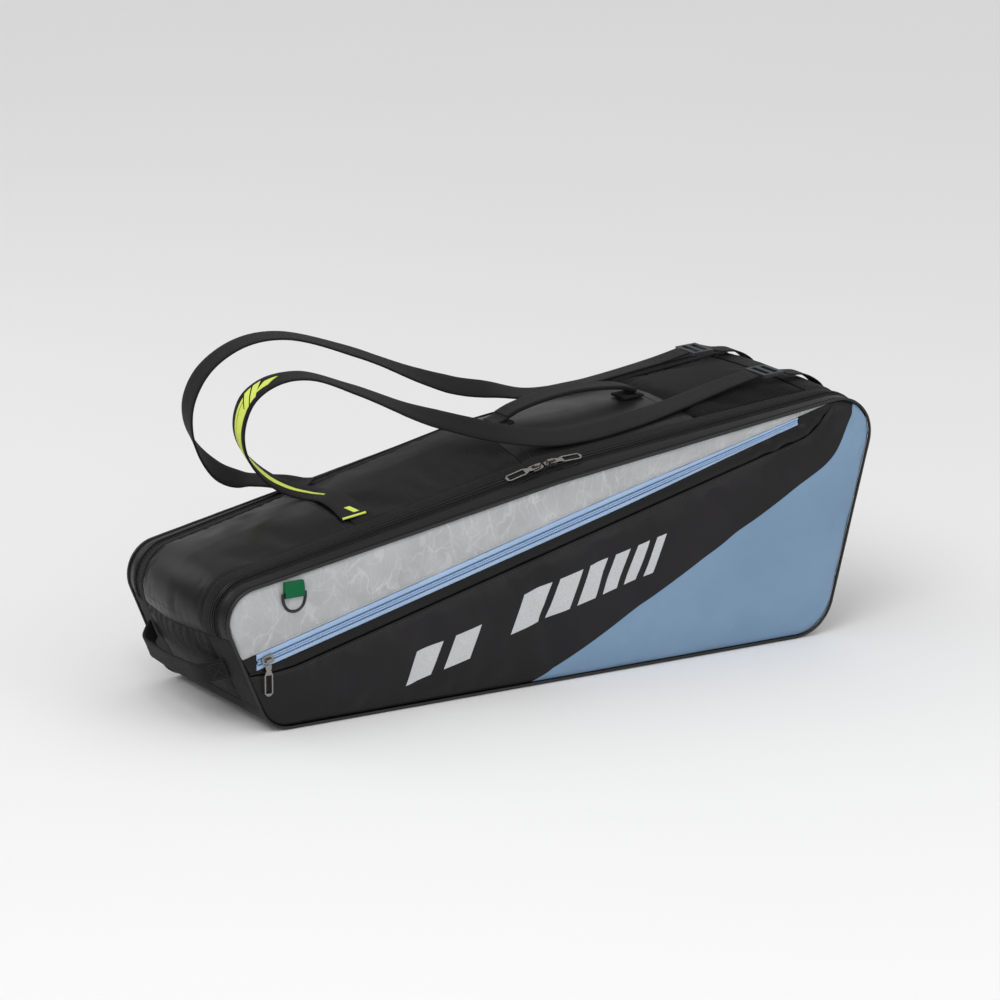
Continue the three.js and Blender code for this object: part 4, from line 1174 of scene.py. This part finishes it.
def lower_webbing():
    for name, route in STRAPS.items():
        x, y, z = route[-1][:3]
        start = np.array([x + 3.4 + 26.8, y, z + 0.03 * 26.8])  # past the ladder lock
        points = [start] + [top_point(q, y, above) for q, above in ((712, 8), (730, 5.5), (746, 3.8), (755, 2.8))]
        Ribbon(points, 24, 1.6, 60).web(f"{name}_lower_webbing", "bag", "fine_webbing")


# ---- hard pieces: the CAD shape with its edges eased ----
def eased(node, body, slot, material, width, segments=2):
    obj = bpy.data.objects.new(node + ".eased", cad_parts[node].data.copy())
    bpy.context.collection.objects.link(obj)
    bm = bmesh.new()
    bm.from_mesh(obj.data)
    bmesh.ops.remove_doubles(bm, verts=bm.verts, dist=1e-6)
    bmesh.ops.dissolve_limit(bm, angle_limit=math.radians(4), verts=bm.verts, edges=bm.edges)
    bm.to_mesh(obj.data)
    bm.free()
    obj.data.materials.clear()
    obj.data.materials.append(MATERIALS[material])
    bevel = obj.modifiers.new("bevel", "BEVEL")
    bevel.width = width / 1000
    bevel.segments = segments
    bevel.limit_method = "ANGLE"
    bevel.angle_limit = math.radians(35)
    obj.data.shade_smooth()
    obj.modifiers.new("normals", "WEIGHTED_NORMAL")
    settle(obj, body, slot, node)


def hardware():
    for name in (*SIDES, "pocket"):
        ends = [""] if name == "pocket" else ["_grip", "_head"]
        for node in [f"{name}_{part}{end}" for end in ends for part in ("slider", "pull")]:
            eased(node, node, "zip_metal", "metal", 0.4)
        if name in SIDES:
            eased(f"{name}_buckle", f"{name}_buckle", "buckle_plastic", "plastic", 0.8, 3)
    eased("ring_tab", "front_flap", "tab_green", "green", 0.5, 3)
    ring()


def ring():
    """The D-ring's wire: a straight bar and a bow, in the box of its CAD piece."""
    low, high = (np.array(c) * 1000 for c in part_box("d_ring"))
    x, y, _ = (low + high) / 2 - SHIFT
    half = (high[0] - low[0]) / 2 - 1.6
    top = high[2] - SHIFT[2] - 1.6
    drop = high[2] - low[2] - 3.2
    bar = [[x + half * t, y, top] for t in np.linspace(-1, 1, 14)]
    bow = [[x + half * math.cos(a), y, top - drop * math.sin(a) ** 0.8] for a in np.linspace(0, math.pi, 40)[1:-1]]
    wire = new_mesh("d_ring.wire", *tube(bar + bow, 1.55, 12, closed=True), "ring")
    settle(wire, "d_ring", "ring_metal", "d_ring")


# ---- stage, lights and camera ----
LIGHTS = [  # name, place, size and power
    ("key", (-1.6, -1.4, 2.6), 1.8, 26),
    ("fill", (1.2, -2.6, 1.4), 1.8, 12),
    ("rim", (-1.3, 2.0, 1.5), 1.2, 5),
]
LIT_POINT = Vector((0, 0, 0.12))
SKY_LOW = 0.45  # the studio's light is dim near the horizon and strong overhead
SKY_HIGH = 0.75


def aimed(name, data, at, ahead):
    """Places a light or the camera, looking ahead with its top upright."""
    obj = bpy.data.objects.new(name, data)
    obj.location = at
    obj.rotation_euler = Vector(ahead).to_track_quat("-Z", "Y").to_euler()
    bpy.context.collection.objects.link(obj)
    return obj


def studio():
    bpy.ops.mesh.primitive_plane_add(size=60)
    floor = bpy.context.object
    floor.name = "floor"
    m = Nodes("floor")
    paint = m.colour(m.texture("TexNoise", 2), (0.93, 0.93, 0.93, 1), (0.95, 0.95, 0.95, 1))
    m.set(Base_Color=paint, Roughness=0.9, Specular_IOR_Level=0.1)
    floor.data.materials.append(m.owner)
    sky = Nodes("studio", "worlds", "Background")
    up = sky.add("SeparateXYZ", sky.coords.outputs["Generated"]).outputs["Z"]
    sky.set(Color=(1, 1, 1, 1), Strength=sky.spread(up, 0.05, 0.75, SKY_LOW, SKY_HIGH))
    bpy.context.scene.world = sky.owner
    for name, at, size, power in LIGHTS:
        light = bpy.data.lights.new(name, "AREA")
        light.shape = "DISK"
        light.size = size
        light.energy = power
        aimed(name, light, at, LIT_POINT - Vector(at))


CAMERA_AT = (-2292.9, -4259.2, 1591.0)
CAMERA_TURN = math.radians(32.14)
CAMERA_TILT = math.radians(15.84)


def camera():
    lens = bpy.data.cameras.new("camera")
    lens.lens = 180
    lens.sensor_width = 36
    lens.clip_end = 100
    level = math.cos(CAMERA_TILT)
    ahead = (math.sin(CAMERA_TURN) * level, math.cos(CAMERA_TURN) * level, -math.sin(CAMERA_TILT))
    bpy.context.scene.camera = aimed("camera", lens, place(CAMERA_AT), ahead)
    bpy.context.scene.view_settings.view_transform = "Standard"


zip_bands()
middle_panels()
base_panels()
seam_tapes()
front_face()
rear_face()
pipings()
divider()
shoulder_straps()
carry_handle()
end_handle()
lower_webbing()
hardware()
studio()
camera()
